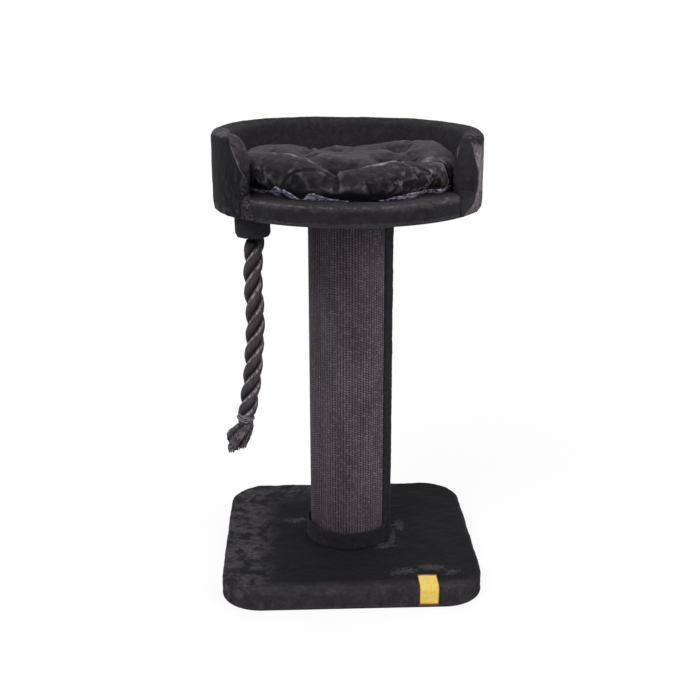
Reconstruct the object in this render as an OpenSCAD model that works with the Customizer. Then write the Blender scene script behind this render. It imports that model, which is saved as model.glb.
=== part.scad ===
// Cat scratcher: a sisal post on a plush base, with a round walled bed on top,
// a loose tufted cushion in the bed and a thick rope hanging under it.
// Millimetres, +Z up, origin at the middle of the base on the floor, front towards -Y.

/* [Base] */
// Width of the base over its plush
base_w = 500; // [420:5:620]
// Depth of the base over its plush
base_d = 480; // [420:5:620]
// Corner radius of the base, seen from above
base_corner_r = 78; // [50:1:110]
// Thickness of the base's board
base_board_h = 36; // [24:1:50]
// Rounding of the base's upper edge over the plush
base_edge_r = 8; // [5:0.5:11]
// Width of the plush that is folded under the base
hem_w = 42; // [30:1:60]
// Width of the yellow tab on the front edge
label_w = 37; // [20:1:50]
// Middle of the yellow tab, to the right of the middle of the base
label_x = 140; // [-140:1:145]
// Length of the yellow tab on top of the base
label_top = 47; // [15:1:60]

/* [Cloth] */
// Thickness of the plush on the base and on the bed's floor
plush_t = 3.5; // [2:0.25:4.5]
// Thickness of the plush cover on the bed's wall
wall_plush_t = 4; // [3:0.25:5]
// Thickness of the plush folded under the base
hem_t = 2; // [1.5:0.25:3]
// Thickness of the cloth under the bed
under_t = 2; // [1:0.25:3]

/* [Post] */
// Length of the post between the base and the bed
post_h = 682.5; // [420:0.5:1000]
// Outer diameter of the cardboard tube
tube_d = 150; // [120:1:180]
// Wall of the cardboard tube
tube_wall = 8; // [5:0.5:12]
// Thickness of the sisal mat and of the plush strip beside it
mat_t = 6; // [4:0.5:8]
// Direction of the mat's edge on the right, from the front
mat_edge_a = 54; // [30:1:80]
// Width of the plush strip at the back right, as an angle
strip_a = 92; // [50:1:120]
// Height of the plush band at the post's foot
foot_h = 36.5; // [20:0.5:60]
// Thickness of the plush band at the post's foot
foot_t = 4; // [3:0.5:7]
// Thickness of the wooden plugs in the tube's ends
plug_t = 25; // [18:1:40]

/* [Bed] */
// Radius of the bed's floor board
bed_board_r = 243; // [230:1:280]
// Thickness of the bed's floor board
bed_board_t = 30; // [22:1:36]
// Height of the wall above the bed's plush floor
wall_h = 101.5; // [85:0.5:140]
// Thickness of the padded wall with its cover
wall_t = 37.5; // [33:0.5:40]
// Thickness of the bent board in the wall
core_t = 16; // [10:1:18]
// Opening of the wall, as an angle
open_a = 114; // [90:1:130]
// Turn of the opening to the right of the front
open_turn = 5; // [-5:1:10]
// Radius of the wall's upper corners beside the opening
wall_corner_r = 52; // [40:1:70]
// Angle by which the wall's right end face turns from the radius, so that it faces the front
right_slant = 23; // [0:1:35]
// Angle by which the wall's left end face turns from the radius, towards the inside
left_slant = 30; // [0:1:35]

/* [Cushion] */
// Gap between the cushion's seam and the wall
cushion_gap = 6; // [5:0.5:18]
// Height of the cushion's crown above the bed's floor
cushion_h = 69; // [55:1:80]
// Height of the seam above the bed's floor
seam_h = 12; // [10:1:20]
// Radius of the ring of tufts
tuft_ring_r = 107; // [90:1:125]
// Depth of a tuft
tuft_depth = 38; // [25:1:45]
// Thickness of the satin lining
lining_t = 1.6; // [1:0.1:2.5]

/* [Rope] */
// Diameter of the rope
rope_d = 35; // [28:0.5:36]
// Radius of the knot at the rope's top
knot_r = 20.5; // [19:0.25:22]
// Radius of the plush collar round the rope's block
collar_r = 32; // [31:0.5:36]
// Height of the collar under the bed
collar_h = 40; // [34:1:48]
// Distance of the rope's middle from the edge of the bed's board
rope_inset = 35.5; // [34:0.5:60]
// Turn of the rope to the left of the front
rope_turn = 58; // [50:1:70]

/* [Fixings] */
// Diameter of the machine bolts
bolt_d = 8; // [6:1:10]
// Radius of the ring of bolts in each plug
bolt_ring_r = 40; // [30:1:45]
// Diameter of the wood screws
screw_d = 5; // [4:0.5:6]
// Number of screws that hold the wall
wall_screws_n = 8; // [6:1:10]

/* [Hidden] */
$fn = 96;
// Clearance between pieces of one body that are fitted by hand
fit = 0.1;
// Clearance between pieces that move against each other
run = 0.3;
// Overshoot of a cutting tool past the face that it cuts
over = 1;

// Heights
board_z = hem_t;
base_top = hem_t + base_board_h + plush_t;
bed_z = base_top + post_h;
bed_board_z = bed_z + under_t;
floor_z = bed_board_z + bed_board_t + plush_t;
wall_top = floor_z + wall_h;

// Post
tube_r = tube_d / 2;
tube_in_r = tube_r - tube_wall;
mat_r = tube_r + mat_t;

// Bed: the skirt of the wall's cover hangs outside the edge of the floor's cover
floor_r = bed_board_r + plush_t;
skirt_gap = 0.5;
wall_out_r = floor_r + skirt_gap + wall_plush_t;
wall_in_r = wall_out_r - wall_t;
wall_mid_r = (wall_out_r + wall_in_r) / 2;
foam_t = (wall_t - 2 * wall_plush_t - core_t) / 2;
cover_seam_r = wall_mid_r + 2;
cushion_r = wall_in_r - cushion_gap;
wall_a0 = -90 + open_turn + open_a / 2;
wall_sweep = 360 - open_a;

// Bolts, washers and nuts
bolt_head_h = 0.66 * bolt_d;
bolt_head_r = 0.85 * bolt_d;
washer_t = 1.6;
washer_r = 1.5 * bolt_d;
sink_r = washer_r + 1;
sink_h = 10;
hole_r = bolt_d / 2 + 0.5;
nut_bore_r = bolt_d / 2 + 0.05;
nut_barrel_r = bolt_d / 2 + 1.5;
nut_barrel_h = 12;
nut_flange_r = 11;
nut_flange_t = 1.5;
bolt_reach = 20;
bolt_turns = [45, 135, 225, 315];

// Wood screws
screw_r = screw_d / 2;
screw_head_r = screw_d;
screw_head_h = screw_d / 2;
wall_screw_length = floor_z - bed_board_z + 34;
rope_screw_length = bed_board_t + under_t + 22;

// Rope: the knot turns in a cup on the underside of the block
rope_a = -90 - rope_turn;
rope_ring_r = bed_board_r - rope_inset;
rope_x = rope_ring_r * cos(rope_a);
rope_y = rope_ring_r * sin(rope_a);
collar_wall = 3.2;
block_r = collar_r - collar_wall - fit;
block_h = collar_h - 2.2;
rope_screw_spread = block_r - screw_head_r - 4.7;
cup_drop = 8;
knot_z = bed_z - block_h - cup_drop;
knot_at = [rope_x, rope_y, knot_z];
knot_core_r = 12;
knot_rim_a = 58;
rope_r = rope_d / 2;
head_drop = 17.5;
rope_sides = 10;

// The rope's line below the middle of its knot, chosen by eye
ROUTE = [
    [0, 0, -10], [0, 0, -24], [-1, 0, -42], [-2, 0, -63], [-2, 0, -85], [-1, 0, -108],
    [0, 0, -131], [0, 0, -154], [-1, 0, -177], [-3, 0, -201], [-5, 0, -228], [-8, 0, -258],
    [-12, 0, -285], [-17, 0, -315], [-21, 0, -334], [-26, 0, -352]
];
TASSEL = [[-26, 0, -352], [-27.5, 0, -357.4], [-33, 0, -365], [-38, 0, -375], [-40, 0, -388], [-42, 0, -405]];
TASSEL_R = [15.5, 17, 22, 24.5, 21, 15];
whipping_t = 1.5;
bound_r = rope_r - 2;

// Sections and solids

// A slab with round corners and a rounded upper edge, standing on z = 0
module soft_slab(w, d, h, rc, re) {
    for (sx = [-1, 1], sy = [-1, 1]) {
        translate([sx * (w / 2 - rc), sy * (d / 2 - rc), 0]) soft_disc(rc, h, re);
    }
    for (turn = [0, 180]) {
        rotate([0, 0, turn]) edge_bar(w, d, h, rc, re);
        rotate([0, 0, turn + 90]) edge_bar(d, w, h, rc, re);
    }
    translate([-w / 2 + rc, -d / 2 + rc, 0]) cube([w - 2 * rc, d - 2 * rc, h]);
}

// One straight side of the slab, with its rounded edge
module edge_bar(w, d, h, rc, re) {
    translate([-w / 2 + rc, d / 2 - rc, 0]) rotate([90, 0, 90])
        linear_extrude(w - 2 * rc) half_section(rc, h, re);
}

// A disc with a rounded upper edge
module soft_disc(r, h, re) {
    rotate_extrude() half_section(r, h, re);
}

// Half of the section of a disc: flat below, rounded above
module half_section(r, h, re) {
    steps = 6;
    arc = [for (i = [0:steps]) [r - re + re * cos(90 * i / steps), h - re + re * sin(90 * i / steps)]];
    polygon(concat([[0, 0], [r, 0]], arc, [[0, h]]));
}

// A full ring or tube
module ring(r_out, r_in, h) {
    difference() {
        cylinder(r = r_out, h = h);
        translate([0, 0, -over]) cylinder(r = r_in, h = h + 2 * over);
    }
}

// A curved plate: part of a ring from angle a0, counted from +X
module ring_part(r_out, r_in, h, a0, sweep) {
    rotate([0, 0, a0]) rotate_extrude(angle = sweep) translate([r_in, 0]) square([r_out - r_in, h]);
}

// Children at each bolt of a plug
module at_bolts() {
    for (a = bolt_turns) {
        rotate([0, 0, a]) translate([bolt_ring_r, 0, 0]) children();
    }
}

// Bolt that points up, with its head's underside at z = 0
module bolt(length) {
    translate([0, 0, -bolt_head_h]) cylinder(r = bolt_head_r, h = bolt_head_h, $fn = 6);
    cylinder(d = bolt_d, h = length);
}

// Nut driven into a plug: barrel up from z = 0, flange below
module tee_nut() {
    difference() {
        union() {
            cylinder(r = nut_barrel_r, h = nut_barrel_h);
            translate([0, 0, -nut_flange_t]) cylinder(r = nut_flange_r, h = nut_flange_t);
        }
        translate([0, 0, -nut_flange_t - over]) cylinder(r = nut_bore_r, h = nut_barrel_h + nut_flange_t + 2 * over);
    }
}

// Wood screw that points up, with the face of its countersunk head at z = 0;
// ease makes it the tool that cuts its own hole
module wood_screw(length, ease = 0) {
    tip_h = 2 * screw_d;
    tip_r = 0.4;
    cylinder(r1 = screw_head_r + ease, r2 = screw_r + ease, h = screw_head_h);
    cylinder(r = screw_r + ease, h = length - tip_h);
    translate([0, 0, length - tip_h]) cylinder(r1 = screw_r + ease, r2 = tip_r + ease, h = tip_h + ease);
}

// Wooden plug with its bolt holes and the seats of its nuts; the nuts sit on its face at z = plug_t
module plug() {
    difference() {
        cylinder(r = tube_in_r - fit, h = plug_t);
        at_bolts() {
            translate([0, 0, -over]) cylinder(r = hole_r, h = plug_t + 2 * over);
            translate([0, 0, plug_t - nut_barrel_h - fit]) cylinder(r = nut_barrel_r + fit, h = nut_barrel_h + over);
        }
    }
}

// Staple with its crown along X at z = 0 and its legs down
module staple() {
    crown = 10;
    wire = 0.9;
    leg = 7;
    translate([-crown / 2, -wire / 2, -wire]) cube([crown, wire, wire]);
    for (side = [-1, 1]) {
        translate([side * (crown - wire) / 2 - wire / 2, -wire / 2, -leg]) cube([wire, wire, leg - wire / 2]);
    }
}

// Base

module base_slab(inset) {
    soft_slab(base_w - 2 * inset, base_d - 2 * inset, base_board_h + plush_t - inset,
        base_corner_r - inset, base_edge_r - inset);
}

module base_board() {
    color("burlywood") difference() {
        translate([0, 0, board_z]) base_slab(plush_t);
        at_bolts() {
            translate([0, 0, board_z - over]) cylinder(r = hole_r, h = base_board_h + 2 * over);
            translate([0, 0, board_z - over]) cylinder(r = sink_r, h = sink_h + over);
        }
    }
}

module base_cover() {
    color("dimgray") difference() {
        union() {
            translate([0, 0, board_z]) base_slab(0);
            hem_slab(0, hem_t);
        }
        translate([0, 0, board_z]) base_slab(plush_t);
        translate([0, 0, -over]) hem_slab(hem_w, hem_t + 2 * over);
        at_bolts() {
            translate([0, 0, base_top - plush_t - over]) cylinder(r = hole_r, h = plush_t + 2 * over);
        }
    }
}

// Flat slab with the base's outline drawn in by an inset
module hem_slab(inset, h) {
    w = base_w - 2 * inset;
    d = base_d - 2 * inset;
    rc = base_corner_r - inset;
    for (sx = [-1, 1], sy = [-1, 1]) {
        translate([sx * (w / 2 - rc), sy * (d / 2 - rc), 0]) cylinder(r = rc, h = h);
    }
    translate([-w / 2 + rc, -d / 2, 0]) cube([w - 2 * rc, d, h]);
    translate([-w / 2, -d / 2 + rc, 0]) cube([w, d - 2 * rc, h]);
}

module base_underlay() {
    sheet_t = 1;
    color("darkslategray") translate([0, 0, board_z - sheet_t]) hem_slab(hem_w + 1, sheet_t);
}

module base_staples() {
    line = hem_w / 2;
    pitch = 55;
    nx = floor((base_w / 2 - base_corner_r) / pitch);
    ny = floor((base_d / 2 - base_corner_r) / pitch);
    color("silver") {
        for (i = [-nx:nx], side = [-1, 1]) {
            translate([i * pitch, side * (base_d / 2 - line), hem_t / 4]) mirror([0, 0, 1]) staple();
        }
        for (i = [-ny:ny], side = [-1, 1]) {
            translate([side * (base_w / 2 - line), i * pitch, hem_t / 4]) mirror([0, 0, 1])
                rotate([0, 0, 90]) staple();
        }
    }
}

// Cloth tab laid over the front edge of the base
module label_tab() {
    tab_t = 1.2;
    foot = 5;
    steps = 8;
    edge_y = -base_d / 2 + base_edge_r;
    edge_z = base_top - base_edge_r;
    function bend(r) = [for (i = [0:steps]) [edge_y - r * sin(90 * i / steps), edge_z + r * cos(90 * i / steps)]];
    inner = bend(base_edge_r + fit);
    outer = bend(base_edge_r + fit + tab_t);
    top_y = edge_y - base_edge_r + label_top;
    outline = concat(
        [[top_y, base_top + fit]], inner, [[-base_d / 2 - fit, foot]],
        [[-base_d / 2 - fit - tab_t, foot]], [for (i = [steps:-1:0]) outer[i]], [[top_y, base_top + fit + tab_t]]
    );
    color("gold") translate([label_x - label_w / 2, 0, 0]) rotate([90, 0, 90])
        linear_extrude(label_w) polygon(outline);
}

module base_bolts() {
    seat_z = board_z + sink_h - washer_t;
    length = base_top - seat_z + bolt_reach;
    color("silver") at_bolts() translate([0, 0, seat_z]) bolt(length);
}

module base_washers() {
    color("silver") at_bolts() translate([0, 0, board_z + sink_h - washer_t])
        ring(washer_r, bolt_d / 2 + fit, washer_t);
}

// Post

module post_bottom_plug() {
    color("tan") translate([0, 0, base_top]) plug();
}

module post_top_plug() {
    color("tan") translate([0, 0, bed_z]) mirror([0, 0, 1]) plug();
}

module post_bottom_nuts() {
    color("gainsboro") at_bolts() translate([0, 0, base_top + plug_t]) mirror([0, 0, 1]) tee_nut();
}

module post_top_nuts() {
    color("gainsboro") at_bolts() translate([0, 0, bed_z - plug_t]) tee_nut();
}

module post_tube() {
    color("peru") translate([0, 0, base_top]) ring(tube_r, tube_in_r, post_h);
}

// Nails through the tube into each plug, flush with the tube
module plug_nails() {
    nail_r = 1.2;
    nail_reach = 28;
    turns = [0, 60, 120, 180, 240, 300];
    color("silver") for (z = [base_top + plug_t / 2, bed_z - plug_t / 2], a = turns) {
        rotate([0, 0, a]) translate([tube_r - nail_reach, 0, z]) rotate([0, 90, 0]) cylinder(r = nail_r, h = nail_reach);
    }
}

module sisal_mat() {
    a0 = -90 + mat_edge_a + strip_a;
    color("dimgray") translate([0, 0, base_top]) ring_part(mat_r, tube_r, post_h, a0, 360 - strip_a);
}

module post_plush_strip() {
    edge = 0.4;
    a0 = -90 + mat_edge_a + edge;
    color("black") translate([0, 0, base_top]) ring_part(mat_r, tube_r, post_h, a0, strip_a - 2 * edge);
}

// Staples in two rows that hold the mat's edges to the tube, under the strip's pile
module mat_staples() {
    rows = 12;
    inset_a = 3;
    end_gap = 30;
    pitch = (post_h - 2 * end_gap) / (rows - 1);
    color("silver") for (a = [mat_edge_a - inset_a, mat_edge_a + strip_a + inset_a], i = [0:rows - 1]) {
        rotate([0, 0, -90 + a]) translate([tube_r + mat_t / 2, 0, base_top + end_gap + i * pitch])
            rotate([0, 90, 0]) staple();
    }
}

module post_foot_band() {
    color("black") translate([0, 0, base_top]) difference() {
        soft_disc(mat_r + fit + foot_t, foot_h, foot_t * 0.6);
        translate([0, 0, -over]) cylinder(r = mat_r + fit, h = foot_h + 2 * over);
    }
}

// Bed

module bed_board() {
    color("burlywood") difference() {
        translate([0, 0, bed_board_z]) cylinder(r = bed_board_r, h = bed_board_t, $fn = 180);
        at_bolts() {
            translate([0, 0, bed_board_z - over]) cylinder(r = hole_r, h = bed_board_t + 2 * over);
            translate([0, 0, bed_board_z + bed_board_t - sink_h]) cylinder(r = sink_r, h = sink_h + over);
        }
        at_wall_screws() wood_screw(wall_screw_length, fit);
        at_rope_screws() wood_screw(rope_screw_length, fit);
    }
}

module bed_bolts() {
    seat_z = bed_board_z + bed_board_t - sink_h + washer_t;
    length = seat_z - bed_z + bolt_reach;
    color("silver") at_bolts() translate([0, 0, seat_z]) mirror([0, 0, 1]) bolt(length);
}

module bed_washers() {
    color("silver") at_bolts() translate([0, 0, bed_board_z + bed_board_t - sink_h])
        ring(washer_r, bolt_d / 2 + fit, washer_t);
}

// Plush over the floor board and round its edge
module bed_floor_cover() {
    edge_r = 6;
    color("dimgray") difference() {
        translate([0, 0, bed_board_z]) soft_disc(floor_r, bed_board_t + plush_t, edge_r, $fn = 180);
        translate([0, 0, bed_board_z - over]) cylinder(r = bed_board_r, h = bed_board_t + over, $fn = 180);
        at_bolts() {
            translate([0, 0, floor_z - plush_t - over]) cylinder(r = sink_r, h = plush_t + 2 * over);
        }
        at_wall_screws() wood_screw(wall_screw_length, fit);
    }
}

// Cloth under the bed, between the floor board and the post
module bed_underside_cover() {
    color("black") translate([0, 0, bed_z]) difference() {
        cylinder(r = floor_r, h = under_t, $fn = 180);
        at_bolts() translate([0, 0, -over]) cylinder(r = hole_r, h = under_t + 2 * over);
        translate([0, 0, -bed_z]) at_rope_screws() wood_screw(rope_screw_length, fit);
    }
}

// Staples that hold the cloths to the underside of the floor board, inside the ring of the wall's screws
module bed_staples() {
    count = 24;
    line_r = wall_mid_r - screw_head_r - 6;
    color("silver") for (i = [0:count - 1]) {
        rotate([0, 0, 360 * i / count]) translate([0, line_r, bed_z + under_t / 4])
            mirror([0, 0, 1]) staple();
    }
}

// Wall: the same bent form for the board, the foam and the cover, each inset from the next.
// The inset is taken off both faces, the ends, the top and the upper corners. The skirt is
// the cover's outer layer, which hangs below the rest.
module wall_form(inset, z0, skirt = 0) {
    r_out = wall_out_r - inset;
    r_in = wall_in_r + inset;
    r_skirt = r_out - wall_plush_t + run;
    foot = skirt > 0 ? [[r_in, z0], [r_skirt, z0], [r_skirt, z0 - skirt], [r_out, z0 - skirt]] : [[r_in, z0], [r_out, z0]];
    top = wall_top - inset;
    round_r = (r_out - r_in) / 2;
    spare_a = 8;
    steps = 8;
    arc = [for (i = [0:steps]) [
        wall_mid_r + round_r * cos(180 * i / steps),
        top - round_r + round_r * sin(180 * i / steps)
    ]];
    difference() {
        rotate([0, 0, wall_a0 - spare_a]) rotate_extrude(angle = wall_sweep + 2 * spare_a, $fn = 180)
            polygon(concat(foot, arc));
        rotate([0, 0, wall_a0]) end_cut(right_slant, inset, top);
        rotate([0, 0, wall_a0 + wall_sweep]) mirror([0, 1, 0]) end_cut(-left_slant, inset, top);
    }
}

// Tool that cuts the wall off at its end, near the plane y = 0, and rounds the end's upper corner.
// The corner's arc starts just outside the end and ends just above the top, so it grazes neither face.
module end_cut(slant, inset, top) {
    outside = 0.4;
    reach = wall_t;
    beyond = 60;
    r = wall_corner_r - inset;
    y = r - outside;
    z = top - r + outside;
    translate([wall_mid_r, 0, 0]) rotate([0, 0, slant]) translate([-reach, inset, 0]) {
        translate([0, -beyond, bed_z - beyond]) cube([2 * reach, beyond, wall_top - bed_z + 2 * beyond]);
        difference() {
            translate([0, -beyond / 2, z]) cube([2 * reach, beyond / 2 + y, r + beyond / 2]);
            translate([-over, y, z]) rotate([0, 90, 0]) cylinder(r = r, h = 2 * reach + 2 * over);
        }
    }
}

module wall_core() {
    color("tan") difference() {
        wall_form(wall_plush_t + foam_t, floor_z);
        at_wall_screws() wood_screw(wall_screw_length, fit);
    }
}

module wall_foam() {
    color("lightyellow") difference() {
        wall_form(wall_plush_t, floor_z);
        wall_form(wall_plush_t + foam_t, floor_z - over);
    }
}

// Both layers of plush over the wall, with a skirt that hangs outside the edge of the floor
module wall_plush() {
    difference() {
        wall_form(0, floor_z, floor_z - bed_z);
        wall_form(wall_plush_t, floor_z - over);
    }
}

// Outer layer, as far as the seam along the wall's top and ends
module wall_cover() {
    color("dimgray") difference() {
        wall_plush();
        translate([0, 0, bed_z]) cylinder(r = cover_seam_r, h = wall_top - bed_z + over, $fn = 180);
    }
}

// Inner layer
module wall_lining() {
    color("dimgray") intersection() {
        wall_plush();
        translate([0, 0, bed_z]) cylinder(r = cover_seam_r - fit, h = wall_top - bed_z + over, $fn = 180);
    }
}

// Places of the screws that come up through the floor into the wall
module at_wall_screws() {
    margin_a = 12;
    for (i = [0:wall_screws_n - 1]) {
        rotate([0, 0, wall_a0 + margin_a + i * (wall_sweep - 2 * margin_a) / (wall_screws_n - 1)])
            translate([wall_mid_r, 0, bed_board_z]) children();
    }
}

module wall_screws() {
    color("silver") at_wall_screws() wood_screw(wall_screw_length);
}

// Rope's fixing under the bed

module rope_block() {
    color("tan") difference() {
        translate([rope_x, rope_y, bed_z - block_h]) cylinder(r = block_r, h = block_h);
        translate(knot_at) sphere(r = knot_r + run);
        at_rope_screws() wood_screw(rope_screw_length, fit);
    }
}

// Places of the screws that go down through the floor board into the block
module at_rope_screws() {
    for (side = [-1, 1]) {
        rotate([0, 0, rope_a]) translate([rope_ring_r, side * rope_screw_spread, bed_board_z + bed_board_t])
            mirror([0, 0, 1]) children();
    }
}

module rope_block_screws() {
    color("silver") at_rope_screws() wood_screw(rope_screw_length);
}

// Plush sleeve round the block, turned in under it
module rope_collar() {
    mouth_r = 22;
    color("black") translate([rope_x, rope_y, bed_z - collar_h]) difference() {
        mirror([0, 0, 1]) translate([0, 0, -collar_h]) soft_disc(collar_r, collar_h, 6);
        translate([0, 0, collar_h - block_h]) cylinder(r = block_r + fit, h = block_h + over);
        translate([0, 0, -over]) cylinder(r = mouth_r, h = collar_h);
    }
}

// Cushion

// The plush is a round roll at the rim, then falls a little towards the middle. The points of its
// section are shares of the cushion's radius and of its height over the seam.
roll = 0.26;
function roll_point(t) = [1 - roll + roll * cos(t), 0.4 + 0.6 * sin(t)];
function middle_point(u) = [u, 1 - 0.2 * pow(1 - u / (1 - roll), 2)];
SKIN = concat([for (t = [-30:15:90]) roll_point(t)], [for (u = [0.63, 0.52, 0.41, 0.3, 0.18, 0.08]) middle_point(u)]);

// The tufts lie on a ring, and from each a crease runs out to the rim
tuft_a0 = -102;
tuft_pitch = 72;
TUFTS = [for (i = [0:4]) let (a = tuft_a0 + tuft_pitch * i) [tuft_ring_r * cos(a), tuft_ring_r * sin(a)]];
function dip(x, y, i) = exp(-(pow(x - TUFTS[i][0], 2) + pow(y - TUFTS[i][1], 2)) / 1300);
function dips(x, y) = dip(x, y, 0) + dip(x, y, 1) + dip(x, y, 2) + dip(x, y, 3) + dip(x, y, 4);
function crease(a) = exp(-pow(((a - tuft_a0 + tuft_pitch / 2) % tuft_pitch - tuft_pitch / 2) / 10, 2));

// Radius and height of the plush at a point p of the section, in the direction a (0 or more)
back_rise = 5;
function skin_r(p, a) = cushion_r * p[0] * (1 - 0.03 * crease(a) * p[1] * p[0]);
function skin_z(p, a) = let (r = skin_r(p, a))
    seam_h + (cushion_h - seam_h) * p[1] + back_rise * sin(a) * p[0] * p[1]
    - 8 * crease(a) * p[1] * pow(p[0], 3) - tuft_depth * dips(r * cos(a), r * sin(a));

// The section of the lining, from the middle of the bottom up to the seam
seam_share = 0.955;
LINING = [[0, 0], [0.78, 0], [0.86, 1], [0.92, 5], [seam_share, seam_h]];
segments = 60;

module cushion() {
    base_z = floor_z + run + lining_t;
    inside = cushion_r - lining_t;
    low = [for (p = LINING) if (p[0] > 0) for (k = [0:segments - 1])
        let (a = 360 * k / segments)
        [inside * p[0] * cos(a), inside * p[0] * sin(a), base_z + p[1]]];
    high = [for (p = SKIN) for (k = [0:segments - 1])
        let (a = 360 * k / segments, r = skin_r(p, a))
        [r * cos(a), r * sin(a), base_z + skin_z(p, a)]];
    rings = len(LINING) - 1 + len(SKIN);
    points = concat([[0, 0, base_z]], low, high, [[0, 0, base_z + skin_z(middle_point(0), 0)]]);
    last = len(points) - 1;
    function at(ring, k) = 1 + ring * segments + k % segments;
    faces = concat(
        [for (k = [0:segments - 1]) [0, at(0, k), at(0, k + 1)]],
        [for (ring = [0:rings - 2], k = [0:segments - 1]) each [
            [at(ring, k), at(ring + 1, k), at(ring + 1, k + 1)],
            [at(ring, k), at(ring + 1, k + 1), at(ring, k + 1)]
        ]],
        [for (k = [0:segments - 1]) [at(rings - 1, k), last, at(rings - 1, k + 1)]]
    );
    color("dimgray") polyhedron(points, faces);
}

// Satin under the cushion, up to the seam
module cushion_lining() {
    under = [for (p = LINING) [cushion_r * p[0], p[1]]];
    upper = [for (i = [len(LINING) - 1:-1:0]) [(cushion_r - lining_t) * LINING[i][0], LINING[i][1] + lining_t]];
    color("slategray") translate([0, 0, floor_z + run]) rotate_extrude($fn = 180) polygon(concat(under, upper));
}

// Threads that draw the tufts down, with a small knot on top of each
module tuft_stitches() {
    thread_r = 1.2;
    knot_w = 6;
    knot_h = 2;
    color("black") for (i = [0:4]) {
        top = lining_t + skin_z(middle_point(tuft_ring_r / cushion_r), tuft_a0 + tuft_pitch * (i + 2));
        translate([TUFTS[i][0], TUFTS[i][1], floor_z + run]) {
            cylinder(r = thread_r, h = top);
            translate([0, 0, top - knot_h / 2]) cylinder(d = knot_w, h = knot_h);
        }
    }
}

// Rope

// A tube of changing radius swept along points, closed at both ends
module swept(points, radii, sides) {
    n = len(points);
    function line(i) = points[min(i + 1, n - 1)] - points[max(i - 1, 0)];
    function unit(v) = v / norm(v);
    function side_x(i) = unit(cross([0, 1, 0], -line(i)));
    function corner(i, k) = points[i] + radii[i] * (cos(360 * k / sides) * side_x(i) + sin(360 * k / sides) * [0, 1, 0]);
    corners = [for (i = [0:n - 1], k = [0:sides - 1]) corner(i, k)];
    function id(i, k) = i * sides + k % sides;
    polyhedron(corners, concat(
        [[for (k = [sides - 1:-1:0]) id(0, k)]],
        [for (i = [0:n - 2], k = [0:sides - 1]) each [
            [id(i, k), id(i, k + 1), id(i + 1, k + 1)],
            [id(i, k), id(i + 1, k + 1), id(i + 1, k)]
        ]],
        [[for (k = [0:sides - 1]) id(n - 1, k)]]
    ));
}

// Upper half of the knot, held in the cup of the block
module rope_knot() {
    reach = knot_r + over;
    color("dimgray") translate(knot_at) intersection() {
        difference() {
            sphere(r = knot_r);
            sphere(r = knot_core_r + run);
        }
        cylinder(r1 = 0, r2 = reach * tan(knot_rim_a), h = reach);
    }
}

module rope() {
    gap = 0.4;
    neck_r = rope_r + 0.5;
    color("dimgray") translate(knot_at) {
        sphere(r = knot_core_r);
        difference() {
            union() {
                sphere(r = knot_r);
                translate([0, 0, -head_drop]) cylinder(r = neck_r, h = head_drop);
            }
            translate([-2 * knot_r, -2 * knot_r, -gap]) cube([4 * knot_r, 4 * knot_r, 2 * knot_r]);
            translate([-2 * knot_r, -2 * knot_r, -head_drop - 2 * knot_r]) cube([4 * knot_r, 4 * knot_r, 2 * knot_r]);
        }
        swept(ROUTE, [for (i = [0:len(ROUTE) - 1]) i < len(ROUTE) - 2 ? rope_r : bound_r], rope_sides);
    }
}

module rope_whipping() {
    from = len(ROUTE) - 2;
    band = [ROUTE[from], ROUTE[from + 1]];
    color("black") translate(knot_at) difference() {
        swept(band, [bound_r + whipping_t, bound_r + whipping_t], rope_sides);
        swept(ROUTE, [for (i = [0:from + 1]) (i < from ? rope_r : bound_r) + fit], rope_sides);
    }
}

module rope_frayed_end() {
    color("dimgray") translate(knot_at) swept(TASSEL, TASSEL_R, rope_sides);
}

base_board();
base_cover();
base_underlay();
base_staples();
label_tab();
base_bolts();
base_washers();
post_bottom_nuts();
post_bottom_plug();
post_tube();
post_top_plug();
post_top_nuts();
plug_nails();
sisal_mat();
post_plush_strip();
mat_staples();
post_foot_band();
bed_board();
bed_bolts();
bed_washers();
bed_floor_cover();
bed_underside_cover();
bed_staples();
wall_core();
wall_foam();
wall_cover();
wall_lining();
wall_screws();
rope_block();
rope_block_screws();
rope_collar();
cushion();
cushion_lining();
tuft_stitches();
rope_knot();
rope();
rope_whipping();
rope_frayed_end();
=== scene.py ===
import math

import bmesh
import bpy
import numpy as np
from bpy.props import FloatProperty, FloatVectorProperty, IntProperty, PointerProperty
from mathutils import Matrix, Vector, noise


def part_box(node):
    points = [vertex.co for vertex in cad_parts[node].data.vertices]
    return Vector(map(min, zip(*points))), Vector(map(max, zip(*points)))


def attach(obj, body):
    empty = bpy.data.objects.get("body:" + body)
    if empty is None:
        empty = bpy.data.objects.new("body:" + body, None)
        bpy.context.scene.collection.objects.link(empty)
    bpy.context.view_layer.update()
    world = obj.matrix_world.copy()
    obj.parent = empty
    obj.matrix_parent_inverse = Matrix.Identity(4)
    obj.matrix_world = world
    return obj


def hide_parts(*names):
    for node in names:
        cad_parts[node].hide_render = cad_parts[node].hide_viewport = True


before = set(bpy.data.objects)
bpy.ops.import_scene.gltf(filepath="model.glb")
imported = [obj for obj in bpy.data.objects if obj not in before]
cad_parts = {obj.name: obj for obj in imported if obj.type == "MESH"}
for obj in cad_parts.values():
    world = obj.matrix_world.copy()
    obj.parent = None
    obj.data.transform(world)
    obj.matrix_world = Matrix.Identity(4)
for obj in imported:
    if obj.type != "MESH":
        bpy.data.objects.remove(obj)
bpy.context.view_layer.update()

bl_info = {
    "name": "Cat scratcher",
    "version": (1, 0, 0),
    "blender": (4, 5, 0),
    "location": "View3D > Sidebar > Scratcher",
    "description": "Plush, sisal, rope and cushion of a cat scratcher, around its packed model",
    "category": "Object",
}

MM = 0.001
TAU = 2 * math.pi
GOLDEN_ANGLE = 2.39996

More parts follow.
